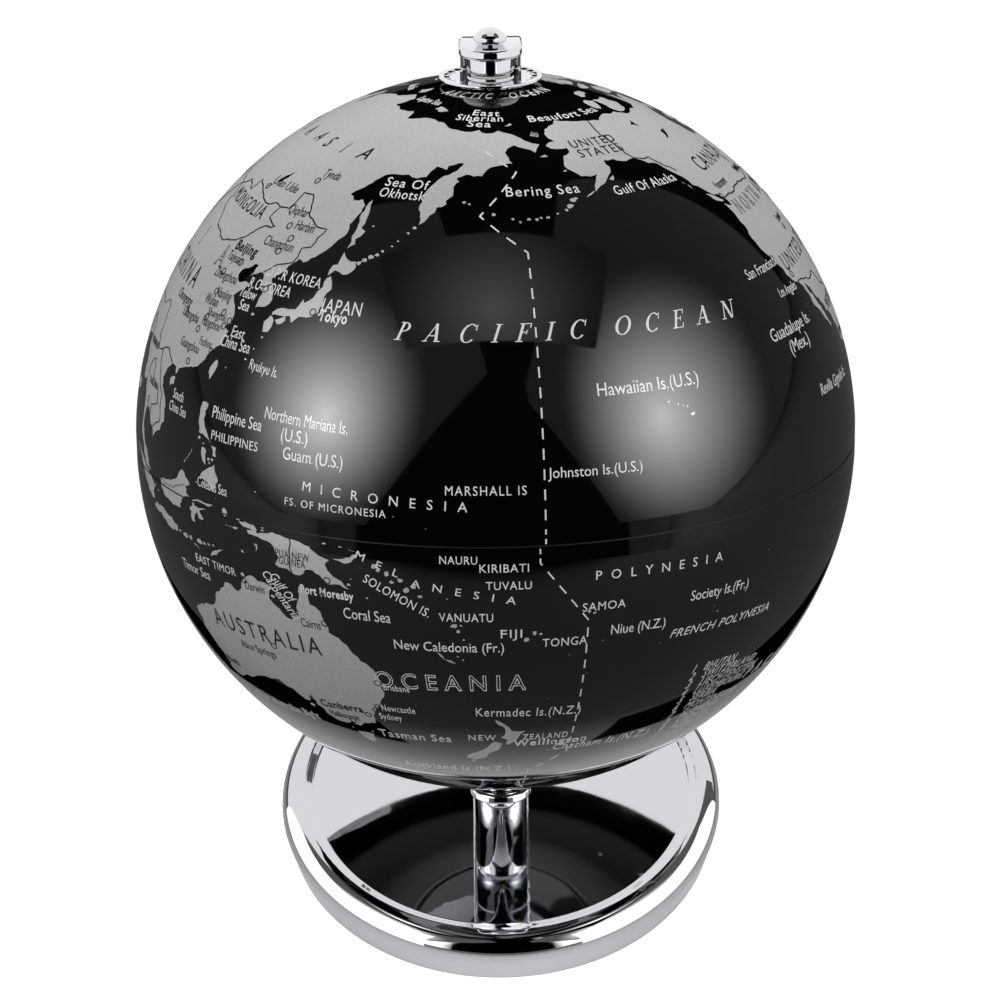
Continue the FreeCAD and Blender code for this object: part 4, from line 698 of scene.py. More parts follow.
# Print: names, borders, dashed date line and town rings are screen printed, a whisker proud of
# the film, white over sea and near black over land. The face is plain, but for the largest
# ocean's name in slanted serif capitals.
# A name's row has its text, the longitude and latitude of its foot at each end, its cap height in
# millimetres, its letter spacing, and b for bold, i for slanted, o for outlined or p for serif.
WHITE_NAMES = """Yellow|120.7|35.4|125.5|35.4|2.1|1
Sea|122.1|33.5|125|33.5|2.1|1
JAPAN|140.9|36|149.3|36|2.8|1.1
Tokyo|141.2|34.6|147|34.6|2.2|1.1|b
D.P.R KOREA|125.4|39.6|139.4|39.4|2.2|1.1
R.O KOREA|122.2|37.1|133.4|37.1|2.2|1.1
East|123|29.2|126.4|29.2|2.3|1
China Sea|121|27.4|128.7|27.5|2.3|1
Ryukyu Is.|129.6|25.4|136|25|2|1
Philippine Sea|123.6|16.7|134.8|16.7|2.4|1
PHILIPPINES|124.1|13.5|134.5|13.6|1.8|1.1
South|111.2|16.9|114.8|16.9|2|1
China Sea|110.6|14.9|116.4|14.9|2|1
Northern Mariana Is.|135.1|18.8|150.4|18.4|2.4|1
(U.S.)|138.8|16.1|143.7|16.1|2.4|1
Guam (U.S.)|139.5|13.4|150|13.3|2.4|1
MICRONESIA|143.4|9.2|169|8|1.9|2.4
FS. OF MICRONESIA|140.3|6.6|157.1|6.6|1.5|1.2
Celebes Sea|121.4|5.6|128.6|5.5|2|1
EAST TIMOR|119.1|-12.3|129.2|-12.3|1.7|1.1
Timor Sea|113.9|-14.9|122.2|-14.9|2.2|1
Gulf Of|136.6|-10.6|140|-14.7|2.2|1|i
Carpentaria|135.1|-10.4|140|-17.4|2.2|1|i
Port Moresby|142.3|-12.2|151.4|-12.2|1.8|1.1|b
Coral Sea|149.4|-15.4|157.1|-15.4|2.4|1
OCEANIA|152.8|-28|178.2|-27.6|4|1.6|o
Brisbane|153.9|-28.8|158.5|-28.8|1.7|1.1
Newcastle|152.4|-33.8|158.6|-33.8|1.9|1.1
Sydney|151.4|-36|155.7|-36|1.9|1.1
Great Australian Bight|118.7|-39.6|136.5|-39.8|2.4|1
Tasman Sea|149.7|-41|164.3|-41|2.5|1.1
NAURU|165.1|-5|170.7|-5|1.6|1.1
KIRIBATI|171|-6.3|178.3|-6.3|1.7|1.1
TUVALU|171.9|-9.1|178.7|-9.1|1.7|1.1
MEL|152.1|-5|158.6|-7.6|1.6|2.6
ANESIA|160.6|-8.9|176.2|-11.6|1.6|2.6
SOLOMON IS.|153.1|-8.7|162.9|-14|1.9|1.1
VANUATU|164.7|-14.5|172.9|-14.5|1.8|1.1
FIJI|174|-17.4|177.3|-17.4|1.9|1.1
TONGA|180.5|-19.3|187.5|-19.3|1.9|1.1
SAMOA|186.5|-13.5|193.3|-13.5|1.8|1.1
New Caledonia (Fr.)|157.2|-20|174.5|-20|2.2|1
Kermadec Is.(N.Z.)|169.5|-33.6|188|-34|2.5|1.1
NEW|167.7|-40.2|172.9|-40.2|2|1.2
ZEALAND|178|-40.2|186.7|-40.2|2|1.2
Wellington|176.3|-42|190.9|-42|2.1|1.2|b
Chatham Is.(N.Z.)|184.4|-44|205.3|-43.8|2.6|1.1|i
Auckland Is.(N.Z.)|151|-50.8|176|-50.8|2.6|1.1
Niue (N.Z.)|191.3|-18.1|200.5|-18.2|2.2|1
POLYNESIA|188.4|-8.4|209.9|-8.8|1.9|2.3
Society Is.(Fr.)|204.6|-14.5|216.1|-14.9|2.2|1
FRENCH POLYNESIA|201.8|-20.6|222.9|-20.9|1.9|1.1|i
San Francisco|226.3|36.5|238.2|36.7|2.2|1
Los Angeles|233.3|32|240.7|31.8|2|1
Guadalupe Is.|225.4|26.4|239.8|26.5|2.6|1
(Mex.)|229.7|23.6|236.7|23.7|2.6|1
Revilla Gigedo Is.|235.8|15.4|249.6|14.9|2.4|1
Gulf Of Alaska|204.8|54.4|226.6|54.4|2.3|1.1
Bering Sea|176.5|56|195.5|55.8|2.4|1.15
Sea Of|143.5|57.1|156.3|57|2.3|1.1
Okhotsk|143.4|55.1|156.2|55|2.3|1.1
East|162.8|74.2|177.6|73.8|2.2|1.1
Siberian|155|72.6|179|72.2|2.2|1.1
Sea|162|70.9|172.9|70.7|2.2|1.1
Beaufort Sea|191.1|71.6|233.6|70.9|2.3|1.1
Laptev Sea|114|76.6|137|76.4|2.2|1.1
Chukchi Sea|188|68.2|191|67.7|1.4|1
ARCTIC|122|80.2|176|80|2.8|1.5|i
OCEAN|190|79.8|238|79.6|2.8|1.5|i
PACIFIC|156.3|33|188.8|33|3.4|0.9|p
OCEAN|193.5|32.9|219.5|32|3.4|0.9|p
Hawaiian Is.(U.S.)|188.8|24.2|206.6|23.8|2.5|1
Johnston Is.(U.S.)|180.5|12.8|194.6|12.6|2|1
MARSHALL IS|165.8|10.5|177.4|10.5|1.8|1.2
INDIAN|68|-24|84|-24|3.4|2.2|i
OCEAN|87|-24|101|-24|3.4|2.2|i
ATLANTIC|302|34|324|34|3.4|2|i
OCEAN|326|34|338|34|3.4|2|i
ATLANTIC|338|-26|357|-26|3.4|2|i
OCEAN|359|-26|371|-26|3.4|2|i
SOUTHERN OCEAN|250|-58|292|-58|2.8|1.8|i
PACIFIC OCEAN|226|-36|268|-36|3|1.8|i
Norwegian Sea|356|68|370|68|2|1
Barents Sea|35|73|52|73|2|1
Kara Sea|70|77|86|77|2|1
Hudson|272|60.5|279|60.5|2|1
Bay|273.5|58.2|277|58.2|2|1
Baffin Bay|292|73.5|303|73.5|2|1
Labrador Sea|304|57|316|57|2|1
Gulf of Mexico|266|24.8|275.5|24.8|1.8|1
Caribbean Sea|280|15|293|15|2|1
Bay of Bengal|83.4|13.4|92|13.4|2|1
Arabian Sea|59|16|69|16|2.2|1
Mediterranean Sea|17|34.4|30.5|34.4|1.5|1
Black Sea|31|42.8|37.4|42.8|1.4|1
Bermuda Is.|296|31.6|303|31.6|1.8|1
Azores Is.|332|40|340|40|1.8|1
Easter I.|251.8|-27.4|258|-27.4|1.8|1
Galapagos Is.|257|-1.6|267|-1.6|1.8|1
Falkland Is.|302|-53|311|-53|2|1
Maldives|73.6|4|79|4|1.6|1
MAURITIUS|58.6|-20.8|66|-20.8|1.6|1
SEYCHELLES|56|-5|65|-5|1.6|1
POLAR SEA|20|84|90|84|2.2|1.6|i
1   BHUTAN|208.7|-29.3|219|-29.6|2.1|1.1|i
2   SWITZERLAND|208.6|-31|225.6|-31.7|2.1|1.1|i
3   LIECHTENSTEIN|208.6|-32.8|227.5|-33.8|2.1|1.1|i
4   LUXEMBOURG|208.5|-34.6|225|-35.6|2.1|1.1|i
5   SERBIA|208.5|-36.4|218|-36.9|2.1|1.1|i
6   MONTENEGRO|208.4|-38.3|226|-39.4|2.1|1.1|i
7   SLOVENIA|208.3|-40.2|222|-41|2.1|1.1|i
8   CROATIA|208.3|-42.1|221|-42.9|2.1|1.1|i
9   ALBANIA|208.2|-44|221|-44.8|2.1|1.1|i
10  ANDORRA|207.5|-46|222|-46.8|2.1|1.1|i"""
DARK_NAMES = """A|97.5|61.2|101.5|61.2|3.4|1|i
S|107|61.2|110.6|61.2|3.4|1|i
I|118.4|61.2|119.6|61.2|3.4|1|i
A|126.6|61.2|131.4|61.2|3.4|1|i
Tynda|121.5|56.5|128.3|56.5|2.2|1
Ulan Ude|105|52.5|117.8|52.5|2.2|1
MONGOLIA|91.2|46.9|112.9|46.9|3.2|1.1
Qiqihar|120.3|49.4|127.2|49.4|2.2|1
Harbin|125.8|47.3|131.5|47.3|2.2|1
Changchun|119.5|43.8|128.8|43.8|2.2|1
Beijing|111.5|41.6|119.6|41.6|2.2|1.1|b
Taiyuan|110.8|39.8|116.5|39.8|2.1|1
Zhengzhou|109.7|36.7|118.2|36.7|2.1|1
Nanjing|113.9|34|119|34|2.1|1
Wuhan|111.2|32.4|115.9|32.4|2.1|1
Shanghai|113.9|30.9|120|30.9|1.6|1
Hangzhou|113.4|29.2|119.4|29.2|1.9|1
Changsha|105.1|28.9|112|28.9|2|1
Chongqing|99|30.6|107|30.6|2|1
CHINA|86|33|104.4|33|4.8|1.5
ASIA|60|39|110.9|38.1|4.6|7|o
Guangzhou|108.7|24.8|115.6|24.8|1.9|1
Fuzhou|115|26.3|118.8|26.3|1.7|1
PAPUA NEW|136.6|-6.9|144.4|-6.9|1.6|1.1
GUINEA|138.8|-8|143.6|-8|1.5|1.1
AUSTRALIA|119.5|-23.5|144|-23.4|4.2|1.3
Alice Springs|125|-26.4|133.5|-26.4|2|1
Cairns|141.3|-18.3|144.9|-18.3|2|1
Canberra|139.4|-35.3|148.4|-35.1|2.1|1.1|b
Melbourne|140.4|-37.5|146.6|-37.5|1.9|1
Perth|116.6|-32.2|120|-32.2|2|1
Darwin|131|-14|135|-14|1.9|1
CANADA|240|53.8|265.5|53|4|1.2
UNITED|200.9|64.4|220.2|64.1|2.4|1.2
STATES|201.5|62.2|219.1|62|2.4|1.2
Vancouver|238|50.4|245.6|50.4|2|1
NORTH AMERICA|238.6|45.6|281|44.6|3.4|1.7|o
UNITED STATES|240.8|34.8|274|34.6|3.6|1.3
Denver|254|40.6|259|40.6|1.9|1
Chicago|266|42.6|271|42.6|1.9|1
New York|277.5|41.6|285|41.6|1.9|1
Mexico City|255.5|19.8|262.8|19.8|1.7|1
MEXICO|252.6|25|262|25|2.4|1.2
Quebec|283|49|289|49|2|1
Winnipeg|258|49.6|265|49.6|1.9|1
SOUTH AMERICA|290|-5|322|-5.2|3|1.3|o
BRAZIL|300|-12|318|-12|3.4|1.5
Brasilia|308|-16|314|-16|2|1
ARGENTINA|291.8|-37|300|-37|1.5|1
BOLIVIA|292|-16.6|299|-16.6|1.7|1.1
PERU|281.4|-8.6|287|-8.6|1.9|1.1
COLOMBIA|284.2|3.6|291.4|3.6|1.6|1
VENEZUELA|290.2|7.5|298|7.5|1.6|1
CHILE|285.9|-28.4|290.4|-28.4|1.3|1
Lima|284|-12|287|-12|1.7|1
GREENLAND|308|73|330|73|3|1.3
EUROPE|14|51.4|36|51.2|3|1.6|o
FRANCE|-.6|46.8|6|46.8|1.8|1
SPAIN|-5.6|39.8|-1|39.8|1.8|1
GERMANY|7.2|50.3|14|50.3|1.5|1
POLAND|16.4|53.2|22.6|53.2|1.5|1
UKRAINE|26|49|35|49|1.9|1.1
ROMANIA|22|45.6|28|45.6|1.4|1
TURKEY|30|38.8|41|38.8|2|1.2
SWEDEN|13.4|60.4|17|60.4|1.2|1
FINLAND|22.6|63.4|29|63.4|1.5|1
R U S S I A|42|58|88|60.5|3.6|1.8
Moscow|35.6|56.2|41.5|56.2|2|1.1|b
KAZAKHSTAN|56|48.2|78|48.2|2.6|1.3
IRAN|50.6|32|58|32|2.4|1.3
IRAQ|41|32.4|46|32.4|1.8|1.1
SAUDI ARABIA|39.4|23.4|51|23.4|2|1.1
YEMEN|44|15.4|50.6|15.4|1.5|1
PAKISTAN|63.4|29|70.6|29|1.6|1
AFGHANISTAN|61|33.8|70.4|33.8|1.5|1
INDIA|73.8|20.6|84|20.6|3.2|1.5
New Delhi|73.6|28.2|79.6|28.2|1.8|1|b
MYANMAR|93.6|21.4|99.2|21.4|1.5|1
THAILAND|99|16.2|104.4|16.2|1.4|1
AFRICA|10|15.4|34|15.2|4|2|o
ALGERIA|-1|28|8.6|28|2.4|1.2
LIBYA|12.6|27|22|27|2.4|1.2
EGYPT|25.4|26.6|33.4|26.6|2.2|1.2
MALI|-4.8|19|2|19|2.2|1.2
NIGER|6|18|13|18|1.9|1.2
CHAD|15.6|17.4|22|17.4|2|1.2
SUDAN|25.4|13|34|13|2.2|1.2
ETHIOPIA|35.6|8.4|44|8.4|1.9|1.1
KENYA|35.4|1|40.2|1|1.8|1
NIGERIA|4|9.4|12|9.4|1.9|1.1
DEM. REP. CONGO|17.6|-3|28.4|-3.2|1.7|1
TANZANIA|31.4|-6.6|38.4|-6.6|1.7|1
ANGOLA|14|-12.6|22|-12.6|2|1.1
ZAMBIA|23.4|-14.8|30|-14.8|1.7|1
NAMIBIA|14.6|-22|20|-22|1.6|1
SOUTH AFRICA|19.4|-31|29.6|-31|1.9|1
MADAGASCAR|44.4|-19.6|49|-19.6|1.1|1
ANTARCTICA|40|-78|110|-78|3.6|1.8|o
ICELAND|337.6|64.9|345|64.9|1.5|1"""
BORDERS = """87.8,49.2 92,50.8 97.5,49.8 98.5,52 102,51.4 106.5,50.3 111,49.5 114,50.2 116.7,49.8
115.8,47.8 119.8,46.8 116.5,46.4 114,44.9 112,43.6 108,42.4 104.5,41.7 100,42.6 96.5,42.8 91,45.2
87.8,49.2 /116.7,49.8 119.8,50 120.8,53.2 124,53.3 127.5,50 130.8,48.8 134.8,48.4 133.2,45.2 131,44.8
131.2,43.4 130.7,42.4 /130.6,42.4 129,42 127,41.6 126,41 124.4,40 /124.9,37.8 126.6,37.8 128.4,38.6
/219,69.6 219,60.3 /219,60.3 222.5,59.5 225,59.6 227,57.5 229.8,55.8 /237.2,49 264.8,49 /264.8,49.3
270,48 276,46.4 277.5,43.5 277,42 281,43 284,45 289,45.3 291,47.3 293,47 /242.8,32.6 249,31.4
253.5,31.7 256,29 260.5,27 262.8,25.9 /141,-2.6 141,-9.1 /109.6,2 111,1 114,1.4 115.6,3 117.6,4.2
/31,70 28.5,69 30,67.6 29.5,64.5 31.3,62.6 28,60.5 /11,59 12.5,61.5 12,63.5 14.5,66.2 18,68.5
20.5,69 28,70 /24,66 23.8,67.5 20.5,69 /30,59.6 27.5,57.4 30.8,55.6 31.6,53 34,52 38,49.8 39.8,47.9
38.2,47.1 /14.3,53.8 14.8,51 18,49.8 22.6,49.2 23.8,51.6 23.4,54 19.6,54.4 /6.2,53.5 7,51 6.2,49.6
8.1,49 7.6,47.5 6.9,46 7.5,43.8 /-1.8,43.4 3.2,42.4 /-7,37 -7.2,41.9 -8.8,41.9 /22.6,49.2 22.8,48
26.5,48.2 30,46.4 /36,37 40,37 44.8,37.2 45.8,35 46,33 48.5,30 /44.8,37.2 44.5,40 43,41.3
/48.8,38.4 46.5,38.9 44.8,39.6 /49,46.6 47,48.4 49,51 55,51 61,52 61,54 70,55.3 76.8,54 80,50.8
87.3,49.2 82.5,45.5 80,42.2 74.5,43 70.5,42 66,42 61,43.5 56,45 56,41.3 53,42.2 /61.2,25.2 63,27.2
61,31 61.8,36 67,37.2 71,38.4 74.8,37.3 /61,36.5 54,37.3 /66.5,29.8 70,33.5 74.8,37.3 /68.2,23.8
71,25 70,28 74.5,31 75,34 78,35.5 /78,35.5 79,32 81,30.2 86,28 92,27.5 96,29 97.5,28.3 98,24 99.5,22
102,22.4 105,23.2 108,21.6 /92.2,21 92,24 89,25.2 88,22 /97.5,17 98.5,19.6 100.2,20.3 101,17.6
104.8,16.4 105.6,14.4 102.4,13.6 102.8,12 /102.2,22.4 104,19.2 107,16 107.6,12.2 104.5,10.4
/34.3,31.3 35,29.5 /35,29.6 38,31.6 39,32.2 42,31 46.6,29.1 48,28.5 /43,16.5 48,18.2 52,19
53,16.8 /52,19 55.2,22.7 51.5,24.3 /-13.2,27.7 -8.7,27.6 -8.7,28.8 -1.2,32.2 -1.8,35
/8.4,36.9 9.5,30.3 11.5,25 /-8.7,27.3 -4.9,25 3.2,19 11.8,23.5 15,23 /25,31.5 25,20 /15,23
24,19.5 24,15.6 22,11 27.5,9.5 34,10.6 36.2,14 38.4,18 /25,22 36.8,22 /15,23 15.4,16.8 13.6,13.6
14.6,9 15.8,7.5 22,11 /3.2,19 4.2,16.6 .2,15 -5.5,10.4 -8,10.2 -8,7 -7.6,4.4 /4,13.6 13.6,13.6
/2.8,6.4 2.8,9 3.6,11.7 /8.6,4.8 11.8,7.2 14.6,12.6 /-11.8,15.6 -5.5,15.5 -6.5,25 /34,10.6 34,4.4
41.8,4 45,8 43,11.4 /34,4.4 29.6,1 29.4,-4.4 30.8,-8.3 28.4,-12.4 24,-11 22,-11.1 21.8,-7.3 17,-8
12.4,-6 /34,1 34,-1 39.2,-4.6 /30.8,-8.3 34.6,-11.5 40.4,-10.5 /22,-13 24,-17.6 30.3,-15.6
33,-14 /11.8,-17.3 24,-17.6 25.3,-17.8 29.4,-22.2 31.6,-22.3 31.9,-25.8 32.8,-26.8 /20,-22 20,-28.4
17,-28.8 /20,-24.8 25.8,-25.7 29.4,-22.2 /25.3,-17.8 33,-16 /8.8,2.2 16,2.2 18.6,5 27.4,5
29.6,1 /16,2.2 16,-2 12,-5 /282.6,7.8 283,7 /287.5,12 287.6,7.2 292.5,6.2 293,1.2 290.2,1 290,-4.2
286.7,-3.6 284.7,.1 281,1.4 /284.7,.1 279.8,-3.4 281.6,-5 287,-4.4 286,-7.5 290,-11 291.4,-15
290.5,-17.6 /293,1.2 296,4.2 299.5,5.2 300.4,1.4 303,2 305.6,2.2 308.4,4.2 /290.4,-11 294.6,-9.8
299.8,-13.8 301.8,-17.2 302,-19.6 297.7,-22.2 292.8,-22.3 291.4,-18 /297.7,-22.2 301.4,-27.2
304.4,-27.4 305.8,-25.6 302,-22.2 302,-19.6 /304.4,-27.4 302.4,-30.2 306.6,-33.6 /302.4,-30.2
301.8,-34 /292.8,-22.3 291.5,-27 290,-33 288.8,-38 288.4,-46 291.4,-52 /267.6,14.6 271.8,15.8
/270.8,17.8 269,17.8 268,14.6 /276.3,11 274.4,11.2"""
TOWNS = """121.6,55.6 104.6,51.8 123.9,47.6 126.6,45.8 125.3,43.5 116.4,40.2 112.5,37.9 113.6,34.7
118.8,32.2 114.3,30.6 121.2,31.3 120.2,30.3 113,28.3 106.6,29.6 119.2,26 113.3,23.2 133.9,-23.8
145.7,-17 153,-27.5 151.7,-33 151.1,-33.9 149.1,-35.4 145,-37.8 116,-32 130.9,-12.5 236.9,49.3
255,39.7 272.4,41.8 285.8,40.9 260.9,19.4 262.9,49.9 288.8,46.9 312.1,-15.8 283,-12.1 37.6,55.7
2.3,48.8 -3.7,40.4 13.4,52.5 28.9,41 31.2,30 77.2,28.6 72.9,19.1 80.2,13.1 100.5,13.8 47,24.7
51.4,35.7 36.8,-1.3 28,-26.2 3.4,6.5 301.6,-34.6 289.3,-33.4 318,-22.9 237.6,37.8 241.8,34.1
139.7,35.7 127,37.6 147.2,-9.4"""
DATE_LINE = "171,65 180,60.5 170.2,52.6 180,46.5 180,-5 187.5,-15 187.5,-45 180,-51 180,-62"
PRINT_LOW, PRINT_HIGH = -0.03 * MM, 0.035 * MM
DEGREE = math.radians(1) * BALL
# The plain face: its cap height as a share of its size, the slant, and how far an outlined or a
# bold letter is thickened.
CAP_SHARE, SLANT, OUTLINE, BOLD = 0.729, 0.32, 0.022, 0.026
# The lines: their widths, and in degrees the date line's dashes, the borders' raggedness and the
# town rings.
DATE_WIDTH, BORDER_WIDTH, TOWN_WIDTH = 0.28 * MM, 0.26 * MM, 0.22 * MM
DATE_DASH, DATE_GAP, DASH_STEP = 1.6, 1.4, 0.2
BORDER_STEP, BORDER_ROUGH = 0.9, 0.1
TOWN_RADIUS, TOWN_SIDES = 0.5, 14
# Serif capitals, in cap heights: width, straight strokes (foot, head, thickness across) and bows
# (centre, radii, thickness at the side and at the top, first and last angle).
SERIF = {
    "P": (0.64, [(0.12, 0, 0.12, 1, 0.14), (0, 0, 0, 0.05, 0.38), (0, 0.95, 0, 1, 0.3)],
          [(0.26, 0.735, 0.36, 0.265, 0.14, 0.05, -90, 90)]),
    "A": (0.92, [(0.08, 0, 0.4, 1, 0.06), (0.63, 0, 0.34, 1, 0.15), (0.2, 0.3, 0.2, 0.35, 0.45),
                 (-0.02, 0, -0.02, 0.05, 0.25), (0.56, 0, 0.56, 0.05, 0.34)], []),
    "C": (0.78, [(0.7, 0.66, 0.7, 0.98, 0.05)], [(0.42, 0.5, 0.42, 0.52, 0.15, 0.05, 48, 318)]),
    "I": (0.34, [(0.1, 0, 0.1, 1, 0.14), (0, 0, 0, 0.05, 0.34), (0, 0.95, 0, 1, 0.34)], []),
    "F": (0.62, [(0.1, 0, 0.1, 1, 0.14), (0, 0, 0, 0.05, 0.36), (0, 0.95, 0, 1, 0.62),
                 (0.57, 0.74, 0.57, 1, 0.05), (0.2, 0.49, 0.2, 0.54, 0.27),
                 (0.43, 0.39, 0.43, 0.64, 0.05)], []),
    "E": (0.66, [(0.1, 0, 0.1, 1, 0.14), (0, 0, 0, 0.05, 0.66), (0, 0.95, 0, 1, 0.62),
                 (0.57, 0.74, 0.57, 1, 0.05), (0.2, 0.49, 0.2, 0.54, 0.27),
                 (0.43, 0.39, 0.43, 0.64, 0.05), (0.61, 0, 0.61, 0.27, 0.05)], []),
    "N": (0.88, [(0.12, 0, 0.12, 1, 0.06), (0.64, 0, 0.07, 1, 0.15), (0.74, 0, 0.74, 1, 0.06),
                 (0, 0, 0, 0.05, 0.3), (-0.02, 0.95, -0.02, 1, 0.2),
                 (0.62, 0.95, 0.62, 1, 0.3)], []),
    "O": (0.86, [], [(0.43, 0.5, 0.43, 0.52, 0.15, 0.05, 0, 360)]),
}
BOW_STEPS = 32


def tube_faces(count, closed):
    """Faces round four rows of count points, with ends unless the rows close on themselves."""
    faces = [(row * count + place, row * count + (place + 1) % count,
              (row + 1) % 4 * count + (place + 1) % count, (row + 1) % 4 * count + place)
             for place in range(count if closed else count - 1) for row in range(4)]
    if not closed:
        faces += [(0, count, 2 * count, 3 * count),
                  tuple(row * count + count - 1 for row in (3, 2, 1, 0))]
    return faces


def strip(first, last, closed=False):
    """A flat band between two rows of points, with top, bottom and sides."""
    rows = ((first, -1), (last, -1), (last, 1), (first, 1))
    return [(x, y, z) for row, z in rows for x, y in row], tube_faces(len(first), closed)


def serif_name(text, gap):
    """Points and faces of a word in slanted serif capitals, one cap height tall."""
    spots, faces, left = [], [], 0
    for letter in text:
        width, strokes, bows = SERIF[letter]
        parts = [strip([(x0, y0), (x1, y1)], [(x0 + thick, y0), (x1 + thick, y1)])
                 for x0, y0, x1, y1, thick in strokes]
        for x, y, wide, tall, thick, thin, start, end in bows:
            whole = end - start == 360
            turns = np.radians(np.linspace(start, end, BOW_STEPS + 1))[:BOW_STEPS if whole else None]
            rows = [list(zip(x + across * np.cos(turns), y + up * np.sin(turns)))
                    for across, up in ((wide, tall), (wide - thick, tall - thin))]
            parts.append(strip(*rows, whole))
        for points, sides in parts:
            faces += [tuple(corner + len(spots) for corner in side) for side in sides]
            spots += [(left + x + SLANT * y, y, z) for x, y, z in points]
        left += width + gap
    return np.array(spots), faces


def plain_name(text, gap, style):
    """The same for a name in the plain face, from a text turned into a mesh."""
    if style == "o":
        curve_style = dict(fill_mode="NONE", bevel_depth=OUTLINE, bevel_resolution=0)
    else:
        curve_style = dict(extrude=0.05, offset=BOLD if style == "b" else 0)
    bpy.ops.object.text_add()
    label = bpy.context.object
    label.data.body = text
    label.data.space_character = gap
    label.data.resolution_u = 3
    label.data.shear = SLANT if style == "i" else 0
    for key, value in curve_style.items():
        setattr(label.data, key, value)
    shape = bpy.data.meshes.new_from_object(label)
    bpy.data.objects.remove(label)
    spots = np.empty(len(shape.vertices) * 3)
    shape.vertices.foreach_get("co", spots)
    faces = [tuple(face.vertices) for face in shape.polygons]
    bpy.data.meshes.remove(shape)
    return spots.reshape(-1, 3) / (CAP_SHARE, CAP_SHARE, 1), faces


def print_name(row):
    """One name as a solid, bent onto the ball: its points and faces."""
    text, lon0, lat0, lon1, lat1, cap, gap, style = (row.split("|") + ["n"])[:8]
    lon0, lat0, lon1, lat1, cap, gap = map(float, (lon0, lat0, lon1, lat1, cap, gap))
    spots, faces = serif_name(text, gap) if style == "p" else plain_name(text, gap, style)
    run = Vector(((lon1 - lon0) * math.cos(math.radians((lat0 + lat1) / 2)), lat1 - lat0))
    left, right = spots[:, 0].min(), spots[:, 0].max()
    place = (spots[:, 0] - left) * run.length / (right - left)
    run.normalize()
    up = lat0 + place * run.y
    lon, lat = drawn(lon0 + place * run.x / np.cos(np.radians(up)), up)
    side = spots[:, 1] * cap * MM / DEGREE
    lat = lat + side * run.x
    lon = lon - side * run.y / np.cos(np.radians(lat))
    return on_ball(lon, lat, np.where(spots[:, 2] > 0, PRINT_HIGH, PRINT_LOW)), faces


def print_line(points, width, closed=False):
    """A ribbon of square section along points in degrees."""
    lon, lat = map(np.array, zip(*points))
    narrow = np.cos(np.radians(lat))
    if closed:
        ahead = np.roll(lon, -1) - np.roll(lon, 1), np.roll(lat, -1) - np.roll(lat, 1)
    else:
        ahead = np.gradient(lon), np.gradient(lat)
    run = np.stack([ahead[0] * narrow, ahead[1]])
    run /= np.maximum(np.linalg.norm(run, axis=0), 1e-9)
    half = width / 2 / DEGREE
    rows = []
    for side, lift in ((1, PRINT_LOW), (1, PRINT_HIGH), (-1, PRINT_HIGH), (-1, PRINT_LOW)):
        where = drawn(lon - side * half * run[1] / narrow, lat + side * half * run[0])
        rows.append(on_ball(*where, lift))
    return np.concatenate(rows), tube_faces(len(lon), closed)


def dashes(points, dash, gap):
    """Cut a line in degrees into dashes."""
    fine = []
    for (x0, y0), (x1, y1) in zip(points, points[1:]):
        narrow = math.cos(math.radians((y0 + y1) / 2))
        count = max(1, round(math.hypot((x1 - x0) * narrow, y1 - y0) / DASH_STEP))
        fine += [(x0 + (x1 - x0) * n / count, y0 + (y1 - y0) * n / count) for n in range(count)]
    long, period = round(dash / DASH_STEP), round((dash + gap) / DASH_STEP)
    cuts = [fine[start:start + long + 1] for start in range(0, len(fine) - 2, period)]
    return [cut for cut in cuts if len(cut) > 1]


def print_piece(name, parts, material):
    """One piece from many points-and-faces parts."""
    spots, faces, count = [], [], 0
    for points, sides in parts:
        spots.append(points)
        faces += [tuple(corner + count for corner in side) for side in sides]
        count += len(points)
    mesh = bpy.data.meshes.new(name)
    mesh.from_pydata([tuple(spot) for spot in np.concatenate(spots)], [], faces)
    mesh.materials.append(material)
    piece = bpy.data.objects.new(name, mesh)
    bpy.context.scene.collection.objects.link(piece)
    printed.objects.link(piece)
    shape = bmesh.new()
    shape.from_mesh(mesh)
    bmesh.ops.remove_doubles(shape, verts=shape.verts, dist=1e-7)
    bmesh.ops.recalc_face_normals(shape, faces=shape.faces)
    shape.to_mesh(mesh)
    shape.free()
    true_normals(mesh)
    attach(piece, "globe")


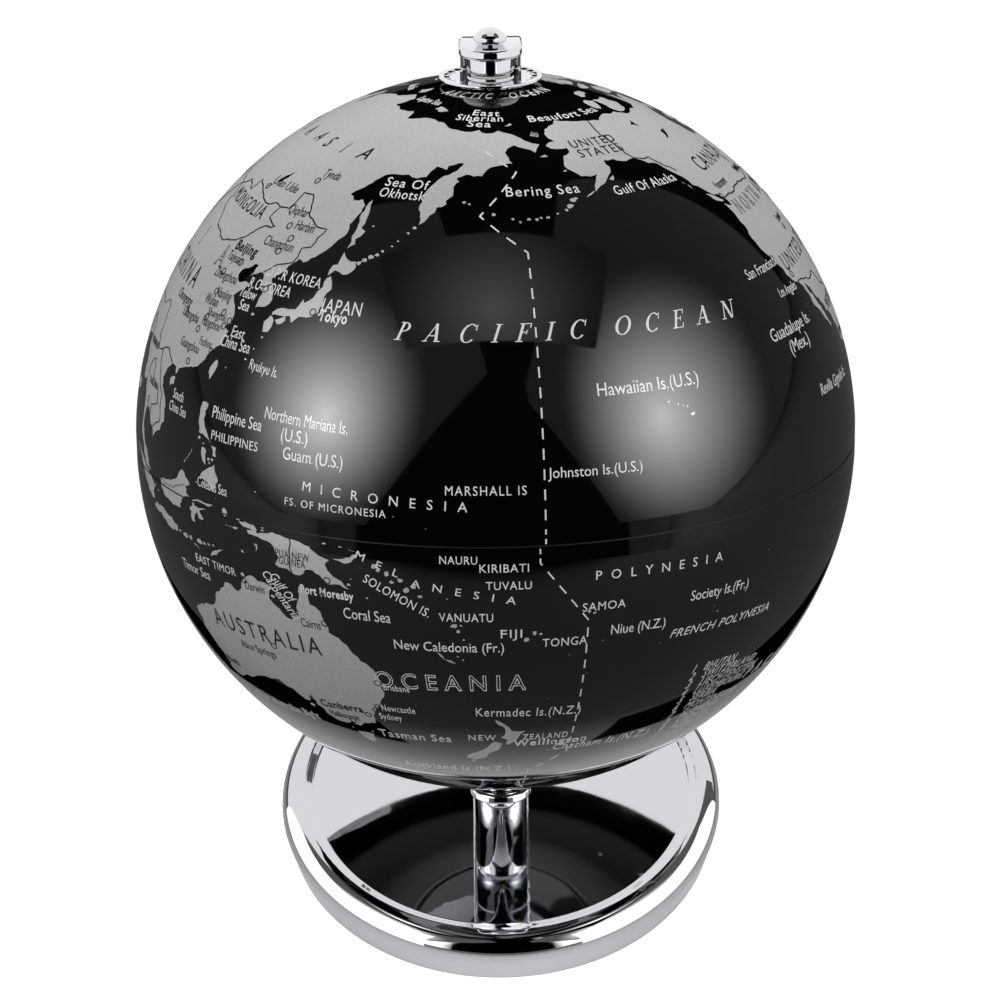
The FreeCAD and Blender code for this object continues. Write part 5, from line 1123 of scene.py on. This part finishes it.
white_ink, tree, shader = new_material("white_screen_ink", "f2f3f4", 0.4, 0.1, Coat_Weight=1.0,
                                       Coat_Roughness=0.05)
place = place_pattern(tree)
tree.links.new(spread(tree, grain(tree, place, 0.5), 0.32, 0.5), shader.inputs["Roughness"])
black_ink, tree, shader = new_material("black_screen_ink", "0a0a0b", 0.4, Coat_Weight=0.2,
                                       Coat_Roughness=0.12)
place = place_pattern(tree)
tree.links.new(spread(tree, grain(tree, place, 0.5), 0.32, 0.5), shader.inputs["Roughness"])

white_parts = [print_name(row) for row in WHITE_NAMES.splitlines()]
for dash in dashes(read_outlines(DATE_LINE)[0], DATE_DASH, DATE_GAP):
    white_parts.append(print_line(dash, DATE_WIDTH))
print_piece("white_print", white_parts, white_ink)
dark_parts = [print_name(row) for row in DARK_NAMES.splitlines()]
for line in read_outlines(BORDERS):
    dark_parts.append(print_line(roughen(line, BORDER_STEP, BORDER_ROUGH, False), BORDER_WIDTH))
for lon, lat in read_outlines(TOWNS)[0]:
    turns = [math.tau * step / TOWN_SIDES for step in range(TOWN_SIDES)]
    narrow = math.cos(math.radians(lat))
    ring = [(lon + TOWN_RADIUS * math.cos(turn) / narrow, lat + TOWN_RADIUS * math.sin(turn))
            for turn in turns]
    dark_parts.append(print_line(ring, TOWN_WIDTH, True))
print_piece("black_print", dark_parts, black_ink)

# Pole bushes: pushed into the two poles of the ball, moulded in black acetal: smooth, slightly
# waxy.
acetal, tree, shader = new_material("moulded_black_acetal", "1c1c1d", 0.3)
place = place_pattern(tree)
tree.links.new(spread(tree, grain(tree, place, 0.6), 0.25, 0.42), shader.inputs["Roughness"])
dress(["north_pole_bush", "south_pole_bush"], acetal)

# Pins and washers at the poles: plain steel pins on which the ball turns, close in look to the
# zinc, and washers punched from natural nylon sheet: milky, slightly waxy.
dress(["north_pin", "south_pin"], zinc)
nylon, tree, shader = new_material("natural_nylon", "e6e2d8", 0.4)
place = place_pattern(tree)
tree.links.new(spread(tree, grain(tree, place, 0.8), 0.32, 0.5), shader.inputs["Roughness"])
dress(["dial_friction_washer", "south_thrust_washer"], nylon)

# Spacers and cap nuts: turned from steel bar and chrome plated. They stand inside and outside
# the ends of the arm and hold the pins in them.
dress(["north_spacer", "south_spacer", "north_cap_nut", "south_cap_nut"], chrome)

# Hour dial: a stepped disc with raised hour marks, embossed and chrome plated, that turns over
# the north pole.
dress(["time_dial"], chrome)
